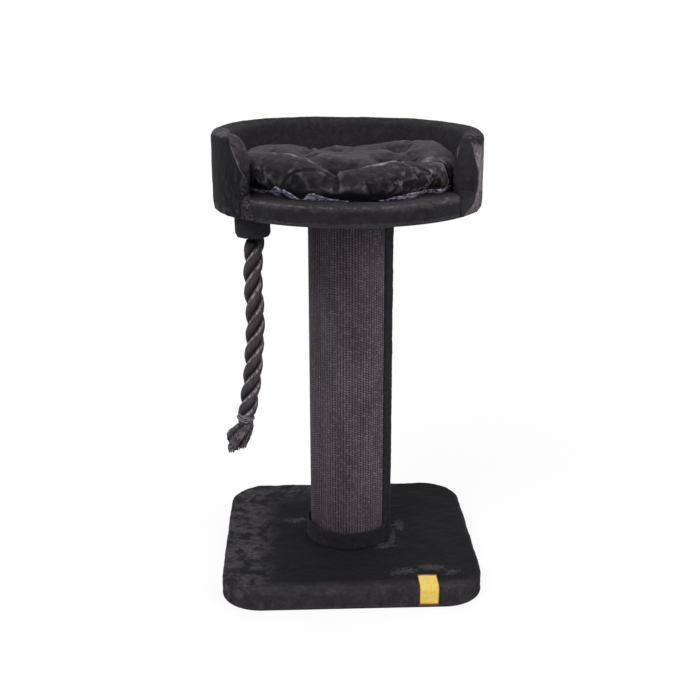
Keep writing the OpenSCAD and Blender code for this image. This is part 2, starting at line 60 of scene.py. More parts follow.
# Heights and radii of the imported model
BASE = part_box("base_cover")
BASE_TOP = BASE[1].z
BED_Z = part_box("bed_underside_cover")[0].z
FLOOR_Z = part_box("bed_floor_cover")[1].z
FLOOR_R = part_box("bed_floor_cover")[1].x
WALL_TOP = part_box("wall_cover")[1].z
WALL_OUT_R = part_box("wall_cover")[1].y
WALL_T = 37.5 * MM
WALL_IN_R = WALL_OUT_R - WALL_T
TUBE_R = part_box("post_tube")[1].x
MAT_T = 6 * MM
MAT_R = TUBE_R + MAT_T
KNOT_R = 20.5 * MM
KNOT_LO, KNOT_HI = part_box("rope_knot")
KNOT = Vector((
    (KNOT_LO.x + KNOT_HI.x) / 2,
    (KNOT_LO.y + KNOT_HI.y) / 2,
    KNOT_HI.z - KNOT_R,
))

# The wall's plush stands a little to the left of its solid, as the photo shows it
WALL_SHIFT = 1.6 * MM
# The seam at the wall's left end lies in the plane x + SEAM_TILT * z = SEAM_AT
SEAM_TILT = 0.43
SEAM_AT = 156.2 * MM
SEAM_SCALE = math.hypot(1, SEAM_TILT)

# The rope's route and the line of its frayed end, in millimetres from the middle of the knot
ROUTE = [
    (0, 0, -10), (0, 0, -24), (-1, 0, -42), (-2, 0, -63), (-2, 0, -85), (-1, 0, -108),
    (0, 0, -131), (0, 0, -154), (-1, 0, -177), (-3, 0, -201), (-5, 0, -228), (-8, 0, -258),
    (-12, 0, -285), (-17, 0, -315), (-21, 0, -334), (-26, 0, -352),
]
TASSEL = [(-26, 0, -352), (-27.5, 0, -357.4), (-33, 0, -365), (-38, 0, -375), (-40, 0, -388), (-42, 0, -405)]
# The strands' own line starts higher than the route and bulges to the right under the collar
HEAD = [(0.5, 0, -0.6), (1.3, 0, -8), (0.8, 0, -20)]


def from_knot(points):
    """Places in metres of points given in millimetres from the middle of the knot."""
    return [KNOT + Vector(p) * MM for p in points]


# Node trees

class Sock:
    """A node's output. Arithmetic on it adds Math nodes to its tree."""

    def __init__(self, tree, socket):
        self.tree, self.socket = tree, socket

    def math(self, operation, *values):
        return self.tree.add("ShaderNodeMath", {"operation": operation}, dict(enumerate(values)))


# What each operator and method of Sock adds, and what it adds with a number before it
MATH = {
    "__add__": "ADD", "__sub__": "SUBTRACT", "__mul__": "MULTIPLY", "__truediv__": "DIVIDE",
    "__pow__": "POWER", "__mod__": "MODULO", "bearing": "ARCTAN2", "sin": "SINE", "cos": "COSINE",
    "most": "MAXIMUM", "least": "MINIMUM", "size": "ABSOLUTE", "floor": "FLOOR", "fract": "FRACT",
}
MATH_AFTER = {"__radd__": "ADD", "__rsub__": "SUBTRACT", "__rmul__": "MULTIPLY"}
for method, operation in MATH.items():
    setattr(Sock, method, lambda self, *rest, kind=operation: self.math(kind, self, *rest))
for method, operation in MATH_AFTER.items():
    setattr(Sock, method, lambda self, other, kind=operation: self.math(kind, other, self))


class Tree:
    """A node tree with one method that adds a node, sets it up and joins it."""

    def __init__(self, tree):
        self.tree = tree

    def add(self, kind, settings=None, inputs=None, out=0):
        made = self.tree.nodes.new(kind)
        for key, value in (settings or {}).items():
            setattr(made, key, value)
        for key, value in (inputs or {}).items():
            if isinstance(value, Sock):
                self.tree.links.new(value.socket, made.inputs[key])
            else:
                made.inputs[key].default_value = value
        return Sock(self, made.outputs[out])

    def vector(self, operation, a, b=None, scale=None, out=0):
        inputs = {0: a}
        if b is not None:
            inputs[1] = b
        if scale is not None:
            inputs["Scale"] = scale
        return self.add("ShaderNodeVectorMath", {"operation": operation}, inputs, out)

    def join(self, x=0.0, y=0.0, z=0.0):
        return self.add("ShaderNodeCombineXYZ", None, {0: x, 1: y, 2: z})

    def split(self, vector):
        made = self.add("ShaderNodeSeparateXYZ", None, {0: vector}).socket.node
        return [Sock(self, made.outputs[i]) for i in range(3)]


class Finish(Tree):
    """A procedural material on Object coordinates, in metres."""

    def __init__(self, name):
        self.material = bpy.data.materials.new(name)
        self.material.use_nodes = True
        super().__init__(self.material.node_tree)
        self.tree.nodes.clear()
        self.place = self.add("ShaderNodeTexCoord", out="Object")

    def noise(self, scale, detail=2.0, rough=0.5, at=None, warp=0.0):
        return self.add("ShaderNodeTexNoise", None, {
            "Vector": at or self.place, "Scale": scale, "Detail": detail,
            "Roughness": rough, "Distortion": warp})

    def stretch(self, x, y, z):
        """Object coordinates, scaled along each axis."""
        return self.add("ShaderNodeMapping", None, {"Vector": self.place, "Scale": (x, y, z)})

    def own(self, name):
        """A value that the mesh stores at its points."""
        return self.add("ShaderNodeAttribute", {"attribute_name": name}, out="Fac")

    def chance(self, x, y):
        """One random value for each pair of whole numbers."""
        pair = {"Vector": self.join(x, y)}
        return self.add("ShaderNodeTexWhiteNoise", {"noise_dimensions": "2D"}, pair)

    def step(self, value, low, high, bottom=0.0, top=1.0):
        return self.add("ShaderNodeMapRange", {"interpolation_type": "SMOOTHSTEP"}, {
            "Value": value, "From Min": low, "From Max": high, "To Min": bottom, "To Max": top})

    def mix(self, factor, a, b):
        a, b = (end if isinstance(end, Sock) else (*end, 1.0) for end in (a, b))
        return self.add("ShaderNodeMix", {"data_type": "RGBA"}, {0: factor, 6: a, 7: b}, out=2)

    def bump(self, height, strength, depth):
        inputs = {"Height": height, "Strength": strength, "Distance": depth}
        return self.add("ShaderNodeBump", None, inputs)

    def shade(self, colour, rough, bump, **more):
        """Sets the surface: colour, roughness, bump as (height, strength, depth) and inputs by name."""
        inputs = {key.replace("_", " "): value for key, value in more.items()}
        inputs |= {"Base Color": colour, "Roughness": rough, "Normal": self.bump(*bump)}
        self.link_surface(self.add("ShaderNodeBsdfPrincipled", None, inputs))
        return self.material

    def link_surface(self, shader):
        out = self.tree.nodes.new("ShaderNodeOutputMaterial")
        self.tree.links.new(shader.socket, out.inputs["Surface"])


class Growth(Tree):
    """A Geometry Nodes tree with named inputs, run on a host to give a plain mesh."""

    def __init__(self, name, **inputs):
        super().__init__(bpy.data.node_groups.new(name, "GeometryNodeTree"))
        face = self.tree.interface
        face.new_socket("Geometry", in_out="INPUT", socket_type="NodeSocketGeometry")
        self.keys = {}
        for label, value in inputs.items():
            kind = "Int" if isinstance(value, int) else "Float"
            if label == "Finish":
                kind = "Material"
            made = face.new_socket(label.replace("_", " "), in_out="INPUT", socket_type="NodeSocket" + kind)
            self.keys[made.identifier] = value
        face.new_socket("Geometry", in_out="OUTPUT", socket_type="NodeSocketGeometry")
        group = self.tree.nodes.new("NodeGroupInput")
        self.source = {s.name: Sock(self, s) for s in group.outputs if s.name}

    def __getitem__(self, label):
        return self.source[label]

    def geo(self, kind, inputs=None, out=0, **settings):
        return self.add("GeometryNode" + kind, settings, inputs, out)

    def store(self, geometry, name, value, kind="FLOAT"):
        """Stores a value at each point of the geometry."""
        return self.geo("StoreNamedAttribute", {"Geometry": geometry, "Name": name, "Value": value},
                        data_type=kind, domain="POINT")

    def named(self, name, kind="FLOAT"):
        return self.geo("InputNamedAttribute", {"Name": name}, data_type=kind)

    def random(self, low, high):
        limits = {2: low, 3: high, "Seed": self["Seed"]}
        return self.add("FunctionNodeRandomValue", {"data_type": "FLOAT"}, limits, out=1)

    def circle(self, sides, radius):
        return self.geo("CurvePrimitiveCircle", {"Resolution": sides, "Radius": radius}, mode="RADIUS")

    def dots(self, count, at):
        return self.geo("Points", {"Count": count, "Position": at, "Radius": 1 * MM})

    def planted(self, curve, dots, turn=(0, 0, 0)):
        """A copy of a curve on each dot."""
        copies = self.geo("InstanceOnPoints", {"Points": dots, "Instance": curve, "Rotation": turn})
        return self.geo("RealizeInstances", {0: copies})

    def ribs(self, count):
        """A wave round a section: 1 on each rib and -1 between them."""
        return (self.geo("SplineParameter", out="Factor") * (TAU * count)).cos()

    def sweep(self, curve, section):
        return self.geo("CurveToMesh", {"Curve": curve, "Profile Curve": section, "Fill Caps": True})

    def tube(self, curve, section):
        """Sweeps a section along a curve, scaled by the curve's radius."""
        made = self.sweep(curve, section)
        scale = made.socket.node.inputs.get("Scale")
        if scale:
            self.tree.links.new(self.geo("InputRadius").socket, scale)
        return made

    def run(self, name, geometry, finish, curve=None):
        """Ends the tree with smooth shading and its finish, and returns its result as an object."""
        shaded = self.geo("SetShadeSmooth", {"Geometry": geometry})
        real = self.geo("RealizeInstances", {0: shaded})
        worn = self.geo("SetMaterial", {"Geometry": real, "Material": self["Finish"]})
        out = self.tree.nodes.new("NodeGroupOutput")
        self.tree.links.new(worn.socket, out.inputs[0])
        host = curve or new_object(name + "_host", bpy.data.meshes.new(name + "_host"))
        grow = host.modifiers.new("Grow", "NODES")
        grow.node_group = self.tree
        for identifier, value in self.keys.items():
            grow[identifier] = value
        shown = host.evaluated_get(bpy.context.evaluated_depsgraph_get())
        mesh = bpy.data.meshes.new_from_object(shown)
        bpy.data.objects.remove(host)
        mesh.name = name
        if not mesh.materials:
            mesh.materials.append(finish)
        return new_object(name, mesh)


# Meshes

def new_object(name, data):
    made = bpy.data.objects.new(name, data)
    bpy.context.scene.collection.objects.link(made)
    return made


def ring_faces(rows, cols, wrap=True):
    """Quads between rows of cols points each; wrap joins the ends of each row."""
    k = np.arange(cols if wrap else cols - 1)
    a = np.arange(rows - 1)[:, None] * cols
    here, right = a + k, a + (k + 1) % cols
    return np.stack([here, right, right + cols, here + cols], -1).reshape(-1, 4).tolist()


def mesh_object(name, points, faces, finish):
    """A smooth closed mesh at the origin with its faces turned outwards."""
    mesh = bpy.data.meshes.new(name)
    mesh.from_pydata(np.asarray(points, float).tolist(), [], faces)
    shape = bmesh.new()
    shape.from_mesh(mesh)
    bmesh.ops.recalc_face_normals(shape, faces=shape.faces)
    shape.to_mesh(mesh)
    shape.free()
    smooth_faces(mesh)
    mesh.materials.append(finish)
    return new_object(name, mesh)


def lofted(name, rings, finish, capped=True):
    """A closed mesh through rings of points, with caps at its ends or its last ring joined to its first."""
    rows, count = len(rings), len(rings[0])
    first = np.arange(count)
    last = first + (rows - 1) * count
    faces = ring_faces(rows, count)
    if capped:
        faces += [first.tolist(), last.tolist()]
    else:
        faces += np.stack([last, np.roll(last, -1), np.roll(first, -1), first], -1).tolist()
    return mesh_object(name, np.concatenate(rings), faces, finish)


def level(flat, z):
    """Flat points set at a height."""
    return np.column_stack([flat, np.full(len(flat), z)])


def spun(section, a):
    """A section of (radius, height) points turned to an angle about the Z axis."""
    return np.column_stack([section[:, 0] * np.cos(a), section[:, 0] * np.sin(a), section[:, 1]])


def turned(name, section, count, finish, capped=False):
    """A section of (radius, height) points turned all round the Z axis."""
    a = np.arange(count) / count * TAU
    circle = np.column_stack([np.cos(a), np.sin(a)])
    return lofted(name, [level(r * circle, z) for r, z in section], finish, capped)


def quarter(count):
    """Angles of a quarter turn, without its start."""
    return np.linspace(0, math.pi / 2, count)[1:]


def arc(x, z, wide, high, turns):
    """Points of an arc about (x, z)."""
    return [(x + wide * math.cos(a), z + high * math.sin(a)) for a in turns]


def catmull(points, steps):
    """A smooth line through points, with steps to each stretch."""
    ends = [points[0] * 2 - points[1], *points, points[-1] * 2 - points[-2]]
    line = []
    for a, b, c, d in zip(ends, ends[1:], ends[2:], ends[3:]):
        for i in range(steps):
            t = i / steps
            line.append(0.5 * (2 * b + (c - a) * t + (2 * a - 5 * b + 4 * c - d) * t * t
                               + (3 * b - a - 3 * c + d) * t ** 3))
    return [*line, points[-1]]


def smooth_faces(mesh):
    mesh.polygons.foreach_set("use_smooth", [True] * len(mesh.polygons))


def dress(piece, finish):
    """Gives a piece one finish."""
    piece.data.materials.clear()
    piece.data.materials.append(finish)


def places(mesh):
    found = np.empty(len(mesh.vertices) * 3)
    mesh.vertices.foreach_get("co", found)
    return found.reshape(-1, 3)


def normals(mesh):
    found = np.empty(len(mesh.vertices) * 3)
    mesh.vertices.foreach_get("normal", found)
    return found.reshape(-1, 3)


def put(mesh, points):
    mesh.vertices.foreach_set("co", np.asarray(points).ravel())
    mesh.update()


def shift(mesh, x, y=0.0):
    put(mesh, places(mesh) + np.array([x, y, 0]))


def radii(at):
    """Distance of each point from the Z axis."""
    return np.hypot(at[:, 0], at[:, 1])


def field(points, size, seed=0.0):
    """Smooth noise from -1 to 1 at each point; size is the distance between its lumps."""
    start = Vector((seed, 2 * seed, 3 * seed))
    return np.array([noise.noise(Vector(p) / size + start) for p in points])


def ruffle(mesh, layers, share=None):
    """Moves a mesh's points along their normals by layers of noise: (size, height, seed)."""
    at = places(mesh)
    moved = sum(height * field(at, size, seed) for size, height, seed in layers)
    if share is not None:
        moved = moved * share
    put(mesh, at + normals(mesh) * moved[:, None])


def mark(mesh, name, values):
    """Stores a value at each point of a mesh for its finish to use."""
    mesh.attributes.new(name, "FLOAT", "POINT").data.foreach_set("value", np.asarray(values, float))


def mark_ridges(mesh, rounds, height):
    """Stores how far each point stands out from a smoothed copy of the mesh: 1 at the given height."""
    at = places(mesh)
    edges = np.empty(len(mesh.edges) * 2, int)
    mesh.edges.foreach_get("vertices", edges)
    a, b = edges[::2], edges[1::2]
    count = np.bincount(edges, minlength=len(at))[:, None]
    calm = at.copy()
    for _ in range(rounds):
        near = [np.bincount(a, calm[b, k], len(at)) + np.bincount(b, calm[a, k], len(at)) for k in range(3)]
        calm = (calm + np.column_stack(near) / count) / 2
    mark(mesh, "ridge", np.einsum("ij,ij->i", at - calm, normals(mesh)) / height)


def to_line(points, line):
    """Distance of flat points from a line of straight stretches."""
    line = np.array(line, float)
    away = np.full(len(points), 1e9)
    for p, q in zip(line, line[1:]):
        t = np.clip(((points - p) @ (q - p)) / ((q - p) @ (q - p)), 0, 1)
        away = np.minimum(away, np.linalg.norm(points - p - t[:, None] * (q - p), axis=1))
    return away


def ease(t):
    return t * t * (3.0 - 2.0 * t)


def smooth(t):
    return ease(np.clip(t, 0, 1))


def carry(piece, body, slot, *nodes):
    """Puts a piece on its body and lets it stand for CAD nodes; its slot is not used."""
    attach(piece, body)
    if nodes:
        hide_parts(*nodes)


def napped(piece, rounds, height, *nodes):
    """Ends a plush piece of the stand: stores its ridges and lets it stand for CAD nodes."""
    mark_ridges(piece.data, rounds, height)
    carry(piece, "stand", "plush", *nodes)


# Finishes

def reach(a, b):
    """How far a point lies from the middle by its two coordinates."""
    return (a * a + b * b) ** 0.5


def plush(name, dark, crushed, amount, mask=None, ridge=0.6, cloud=0.15):
    """Short black pile, lighter where it lies flat, where mask(f, x, y, z) says, and on ridges: painted
    highlight and opened pile.
    """
    f = Finish(name)
    x, y, z = f.split(f.place)
    clump = f.noise(95, 3.0, 0.62, warp=0.4)
    stroke = f.step(f.noise(60, 3.0, 0.6, at=f.stretch(1, 1.5, 1.2), warp=1.2), 0.5, 0.66)
    patch = f.step(f.noise(8, 3.0, 0.6, warp=0.8), 0.55, 0.75) * cloud
    if mask:
        patch = patch.most(mask(f, x, y, z))
    # Painted highlight along ridges, where the pile also opens
    ridge_highlight_and_open_pile = f.step(f.own("ridge"), 0.15, 0.85) * ridge * (0.5 + 0.5 * stroke)
    fibre = f.noise(1300, 2.0, 0.7)
    tone = (patch * (0.6 + 0.3 * f.step(clump, 0.42, 0.66) + 0.2 * stroke) + ridge_highlight_and_open_pile) * amount
    tone = tone * (0.7 + 0.6 * fibre)
    height = clump * 0.9 + fibre * 0.35 + stroke * 0.25
    return f.shade(f.mix(tone.least(1.0), dark, crushed), 0.97, (height, 0.7, 0.0018),
                   Sheen_Weight=0.03, Sheen_Roughness=0.5, Specular_IOR_Level=0.1)


def sisal(start, sweep, cords, bead):
    """Woven sisal: purple-grey cords of small knots with pale flecks, painted shade between them and at the
    top.
    """
    f = Finish("sisal_weave")
    x, y, z = f.split(f.place)
    share = ((y.bearing(x) - start) / TAU).fract() * (TAU / sweep * cords)
    cord = share.floor()
    row = z / bead + (cord * 0.5).fract() + f.chance(cord, 7.0) * 0.35
    knot = row.floor()
    off = (row.fract() - 0.5) * 2.0
    side = (share.fract() - 0.5) * 2.0
    swell = (1.0 - off * off * 0.9) * (1.0 - side * side * 0.8)
    luck = f.chance(cord, knot)
    broad = f.noise(30, 3.0, 0.6, at=f.stretch(1, 1, 0.35))
    hair = f.noise(900, 2.0, 0.7, at=f.stretch(1, 1, 0.4))
    base = f.mix(f.step(broad, 0.32, 0.68), (0.096, 0.076, 0.094), (0.152, 0.119, 0.147))
    base = f.mix(f.step(luck, 0.55, 1.0) * 0.4, base, (0.28, 0.235, 0.27))
    base = f.mix(f.step(f.noise(420, 2.0, 0.7), 0.6, 0.72) * 0.35, base, (0.36, 0.33, 0.36))
    # Painted shadow under the bed: darker towards the top of the mat
    base = f.mix(f.step(z, 0.64, 0.715) * 0.55, base, (0.022, 0.02, 0.026))
    # Painted shade between the cords and knots
    colour = f.mix(f.step(swell + (hair - 0.5) * 0.4, 0.05, 0.65), (0.026, 0.0205, 0.026), base)
    return f.shade(colour, 0.92, (swell + hair * 0.3, 0.9, 0.0012), Specular_IOR_Level=0.25)


def yarn(name, dark, light, shape):
    """Soft twisted yarn with pale fibres; shape(f, streak) tells how light it is, from 0 to 1."""
    f = Finish(name)
    hair = f.noise(1100, 3.0, 0.7, at=f.stretch(1, 1, 0.35))
    streak = f.step(f.noise(230, 2.0, 0.6, at=f.stretch(1, 1, 0.2), warp=0.3), 0.36, 0.66)
    tone = shape(f, streak) * (0.6 + 0.8 * hair)
    return f.shade(f.mix(tone.least(1.0), dark, light), 0.85, (hair + streak * 0.6, 0.5, 0.0007),
                   Sheen_Weight=0.06, Sheen_Roughness=0.4, Specular_IOR_Level=0.25)


def laid(f, streak):
    """A strand of the rope: painted highlight along its upper side, painted shade below and in the grooves.
    """
    upper, out_by, z = f.own("upper"), f.own("out"), f.split(f.place)[2]
    patch = f.noise(120, 3.0, 0.65, warp=0.6)
    # Painted highlight along each strand's upper side
    edge = f.step(upper + (patch - 0.5) * 0.9, 0.55, 0.74) * f.step(upper, 0.98, 0.88)
    edge = edge * f.step(out_by, 0.62, 0.8)
    # Painted shade: darker towards each strand's lower side and black in the grooves
    body = f.step(out_by, 0.62, 0.88) * f.step(upper, -1.0, -0.3, 0.4, 1.0)
    # Painted shadow under the collar
    shadow = f.step(z, KNOT.z - 3 * MM, KNOT.z - 20 * MM, 0.15, 1.0)
    return (edge * (0.05 + 0.42 * streak) + body * (0.055 + 0.05 * streak)) * shadow


def loose(f, streak):
    """A yarn of the frayed end: its ribs, and painted shade deeper inside the brush."""
    clump = f.noise(110, 2.0, 0.6, at=f.stretch(1, 1, 0.4))
    rib = 0.35 + 0.65 * f.own("crest")
    # Painted shade: yarns near the brush's middle are darker
    outside = f.step(f.own("deep"), 0.3, 1.0, 0.06, 0.55)
    return rib * outside * (0.3 + 0.7 * streak) * (clump + 0.4)


def satin():
    """Thin shiny lining, blue-violet, with fine creases and painted highlights and shade along them."""
    f = Finish("satin_lining")
    crease = f.noise(70, 4.0, 0.65, at=f.stretch(1, 1, 2.6), warp=1.4)
    thread = f.noise(1600, 1.0, 0.5)
    # Dark and pale colours along the creases: painted shade and painted highlights
    colour = f.mix(f.step(crease, 0.42, 0.58), (0.03, 0.028, 0.05), (0.66, 0.63, 0.86))
    return f.shade(colour, 0.3, (crease + thread * 0.08, 0.8, 0.004), Sheen_Weight=0.1)


def tab_cloth(face, edge):
    """Yellow ribbon with a fine rib weave, darker along its edges, on its own map."""
    f = Finish("tab_cloth")
    u, v, _ = f.split(f.add("ShaderNodeUVMap", {"uv_map": "cloth"}))
    rim = ((u - 0.5).size() * 2.0).most((v - 0.5).size() * 2.0 + 0.02)
    rib = (v * (TAU * 62)).sin() * (u * (TAU * 44)).sin()
    soft = f.noise(160, 3.0, 0.6)
    woven = f.mix(f.step(soft, 0.3, 0.7), tuple(c * 0.86 for c in face), face)
    colour = f.mix(f.step(rim, 0.87, 0.93), woven, edge)
    return f.shade(colour, 0.62, (rib * 0.5 + 0.3 * soft, 0.4, 0.0003), Specular_IOR_Level=0.35)


def cloth(name, colour, pale):
    """Thin non-woven cloth or thread."""
    f = Finish(name)
    web = f.noise(500, 4.0, 0.7, warp=1.0)
    return f.shade(f.mix(f.step(web, 0.4, 0.7), colour, pale), 0.85, (web, 0.4, 0.0004))


def timber(name, pale, dark, chips=False):
    """Wood: pressed chips, or a grain along X."""
    f = Finish(name)
    if chips:
        cell = f.add("ShaderNodeTexVoronoi", None, {"Vector": f.place, "Scale": 330.0}, out="Color")
        tone = f.split(cell)[0]
    else:
        tone = f.noise(60, 4.0, 0.6, at=f.stretch(1, 6, 6), warp=1.5)
    pore = f.noise(900, 2.0, 0.6)
    return f.shade(f.mix(tone * 0.7 + pore * 0.3, dark, pale), 0.75, (tone + pore, 0.3, 0.0003))


def board_paper():
    """Wound grey-brown cardboard with its spiral joints."""
    f = Finish("tube_cardboard")
    x, y, z = f.split(f.place)
    spiral = z / 0.11 + y.bearing(x) / TAU
    seam = f.step((spiral.fract() - 0.5).size(), 0.485, 0.5)
    fleck = f.noise(700, 3.0, 0.7)
    colour = f.mix(fleck, (0.3, 0.19, 0.11), (0.42, 0.29, 0.18))
    return f.shade(f.mix(seam * 0.6, colour, (0.12, 0.08, 0.05)), 0.85, (fleck - seam, 0.3, 0.0004))


def zinc():
    """Zinc-plated steel, a little clouded."""
    f = Finish("zinc_steel")
    cloud = f.noise(240, 3.0, 0.6)
    return f.shade(f.mix(cloud, (0.5, 0.5, 0.52), (0.72, 0.72, 0.74)), 0.3 + 0.2 * cloud,
                   (cloud, 0.1, 0.0003), Metallic=1.0)


def foam_finish():
    """Open-pored yellowish foam."""
    f = Finish("soft_foam")
    pore = f.noise(1400, 3.0, 0.7)
    return f.shade(f.mix(pore, (0.62, 0.56, 0.4), (0.85, 0.8, 0.62)), 0.95, (pore, 0.6, 0.0005))


# Plans: the sizes and colours that a user would change

def number(name, about, default, unit="NONE"):
    return FloatProperty(name=name, description=about, default=default, unit=unit)


def tint(name, about, default):
    return FloatVectorProperty(name=name, description=about, subtype="COLOR", default=default)


class StagePlan(bpy.types.PropertyGroup):
    lens: number("Lens", "Focal length on a 36 mm sensor", 56.44, "CAMERA")
    lamp: number("Lamp", "Power of the key lamp in watts", 38.0)
    fill: number("Fill", "Brightness of the surroundings", 0.55)
    floor: tint("Floor", "Colour of the floor", (0.97, 0.97, 0.97))


class PlushPlan(bpy.types.PropertyGroup):
    dark: tint("Pile", "Colour of the plush", (0.0080, 0.0079, 0.0102))
    crushed: tint("Crushed pile", "Colour where the pile lies flat", (0.098, 0.086, 0.096))
    step: number("Mesh step", "Distance between the plush meshes' points", 2.8 * MM, "LENGTH")


class PostPlan(bpy.types.PropertyGroup):
    pitch: number("Cord pitch", "Distance between the mat's cords", 5.5 * MM, "LENGTH")
    bead: number("Knot pitch", "Distance between the knots of a cord", 5.0 * MM, "LENGTH")
    edge: number("Mat edge", "Direction of the mat's right edge from the front", math.radians(54), "ROTATION")
    strip: number("Strip width", "Angle of the plush strip", math.radians(92), "ROTATION")


class RopePlan(bpy.types.PropertyGroup):
    lay: number("Lay", "Length of one turn of a strand", 117 * MM, "LENGTH")
    strand: number("Strand radius", "Radius of each strand", 8.9 * MM, "LENGTH")
    spread: number("Spread", "Distance of a strand's middle from the rope's", 8.9 * MM, "LENGTH")
    phase: number("Phase", "Turn of the strands at the knot", 2.52, "ROTATION")
    yarns: IntProperty(name="Yarns", description="Yarns in each strand of the frayed end", default=54)


class CushionPlan(bpy.types.PropertyGroup):
    radius: number("Radius", "Radius of the cushion at its seam", 207 * MM, "LENGTH")
    pressure: number("Pressure", "Pressure of the filling in the simulation", 4.0)
    swell: number("Swell", "Most that a point may move in the simulation", 8 * MM, "LENGTH")


class TabPlan(bpy.types.PropertyGroup):
    face: tint("Tab", "Colour of the tab", (0.86, 0.61, 0.115))
    # Darker colour along the tab's edges
    edge: tint("Tab edge", "Colour of its selvedges", (0.16, 0.06, 0.01))


# Operators

class SCRATCHER_OT_stage(bpy.types.Operator):
    """Floor, surroundings, lamps and camera"""
    bl_idname = "scratcher.stage"
    bl_label = "Stage"

    def execute(self, context):
        plan = context.scene.scratcher_stage
        lens = bpy.data.cameras.new("Camera")
        lens.lens, lens.sensor_width, lens.clip_end = plan.lens, 36.0, 50.0
        camera = new_object("Camera", lens)
        camera.location = (-0.0851, -2.0581, 1.0765)
        camera.rotation_euler = (math.radians(90 - 17.32), 0.0, math.radians(-2.453))
        context.scene.camera = camera

        bpy.ops.mesh.primitive_plane_add(size=30, location=(0, 0, 0))
        floor = context.object
        floor.name = "floor"
        floor.data.materials.append(self.paper(tuple(plan.floor)))

        world = bpy.data.worlds.new("Surroundings")
        context.scene.world = world
        world.use_nodes = True
        t = Tree(world.node_tree)
        world.node_tree.nodes.clear()
        seen = self.seen(t)
        soft = t.add("ShaderNodeBackground", None, {"Color": (1, 1, 1, 1), "Strength": plan.fill})
        plain = t.add("ShaderNodeBackground", None, {"Color": (1, 1, 1, 1), "Strength": 1.0})
        both = t.add("ShaderNodeMixShader", None, {0: seen, 1: soft, 2: plain})
        out = world.node_tree.nodes.new("ShaderNodeOutputWorld")
        world.node_tree.links.new(both.socket, out.inputs[0])

        self.lamp("key", (-1.1, -1.5, 2.7), 1.1, plan.lamp)
        self.lamp("side", (1.9, -0.8, 1.8), 1.3, plan.lamp * 0.4)
        self.lamp("back", (0.3, 1.6, 2.4), 1.3, plan.lamp * 0.5)
        context.scene.view_settings.view_transform = "Standard"
        return {"FINISHED"}

    def seen(self, t):
        """1 for rays that show the background: the camera's, reflections and what glass lets through."""
        camera, glossy, through = (t.add("ShaderNodeLightPath", out=f"Is {kind} Ray")
                                   for kind in ("Camera", "Glossy", "Transmission"))
        return camera.most(glossy).most(through)

    def paper(self, colour):
        """Matt paper that runs over into the background away from the object."""
        f = Finish("floor_paper")
        tone = f.mix(f.noise(40, 2.0), colour, tuple(c * 0.985 for c in colour))
        matt = f.add("ShaderNodeBsdfDiffuse", None, {"Color": tone})
        white = f.add("ShaderNodeEmission", None, {"Color": (1, 1, 1, 1), "Strength": 1.0})
        x, y, z = f.split(f.place)
        away = f.step(reach(x, y), 0.45, 1.5)
        share = self.seen(f) * (0.87 + 0.13 * away)
        f.link_surface(f.add("ShaderNodeMixShader", None, {0: share, 1: matt, 2: white}))
        return f.material

    def lamp(self, name, place, size, power):
        light = bpy.data.lights.new(name, "AREA")
        light.shape, light.size, light.energy = "SQUARE", size, power
        made = new_object(name, light)
        made.location = place
        made.rotation_euler = (Vector((0, 0, 0.5)) - Vector(place)).to_track_quat("-Z", "Y").to_euler()


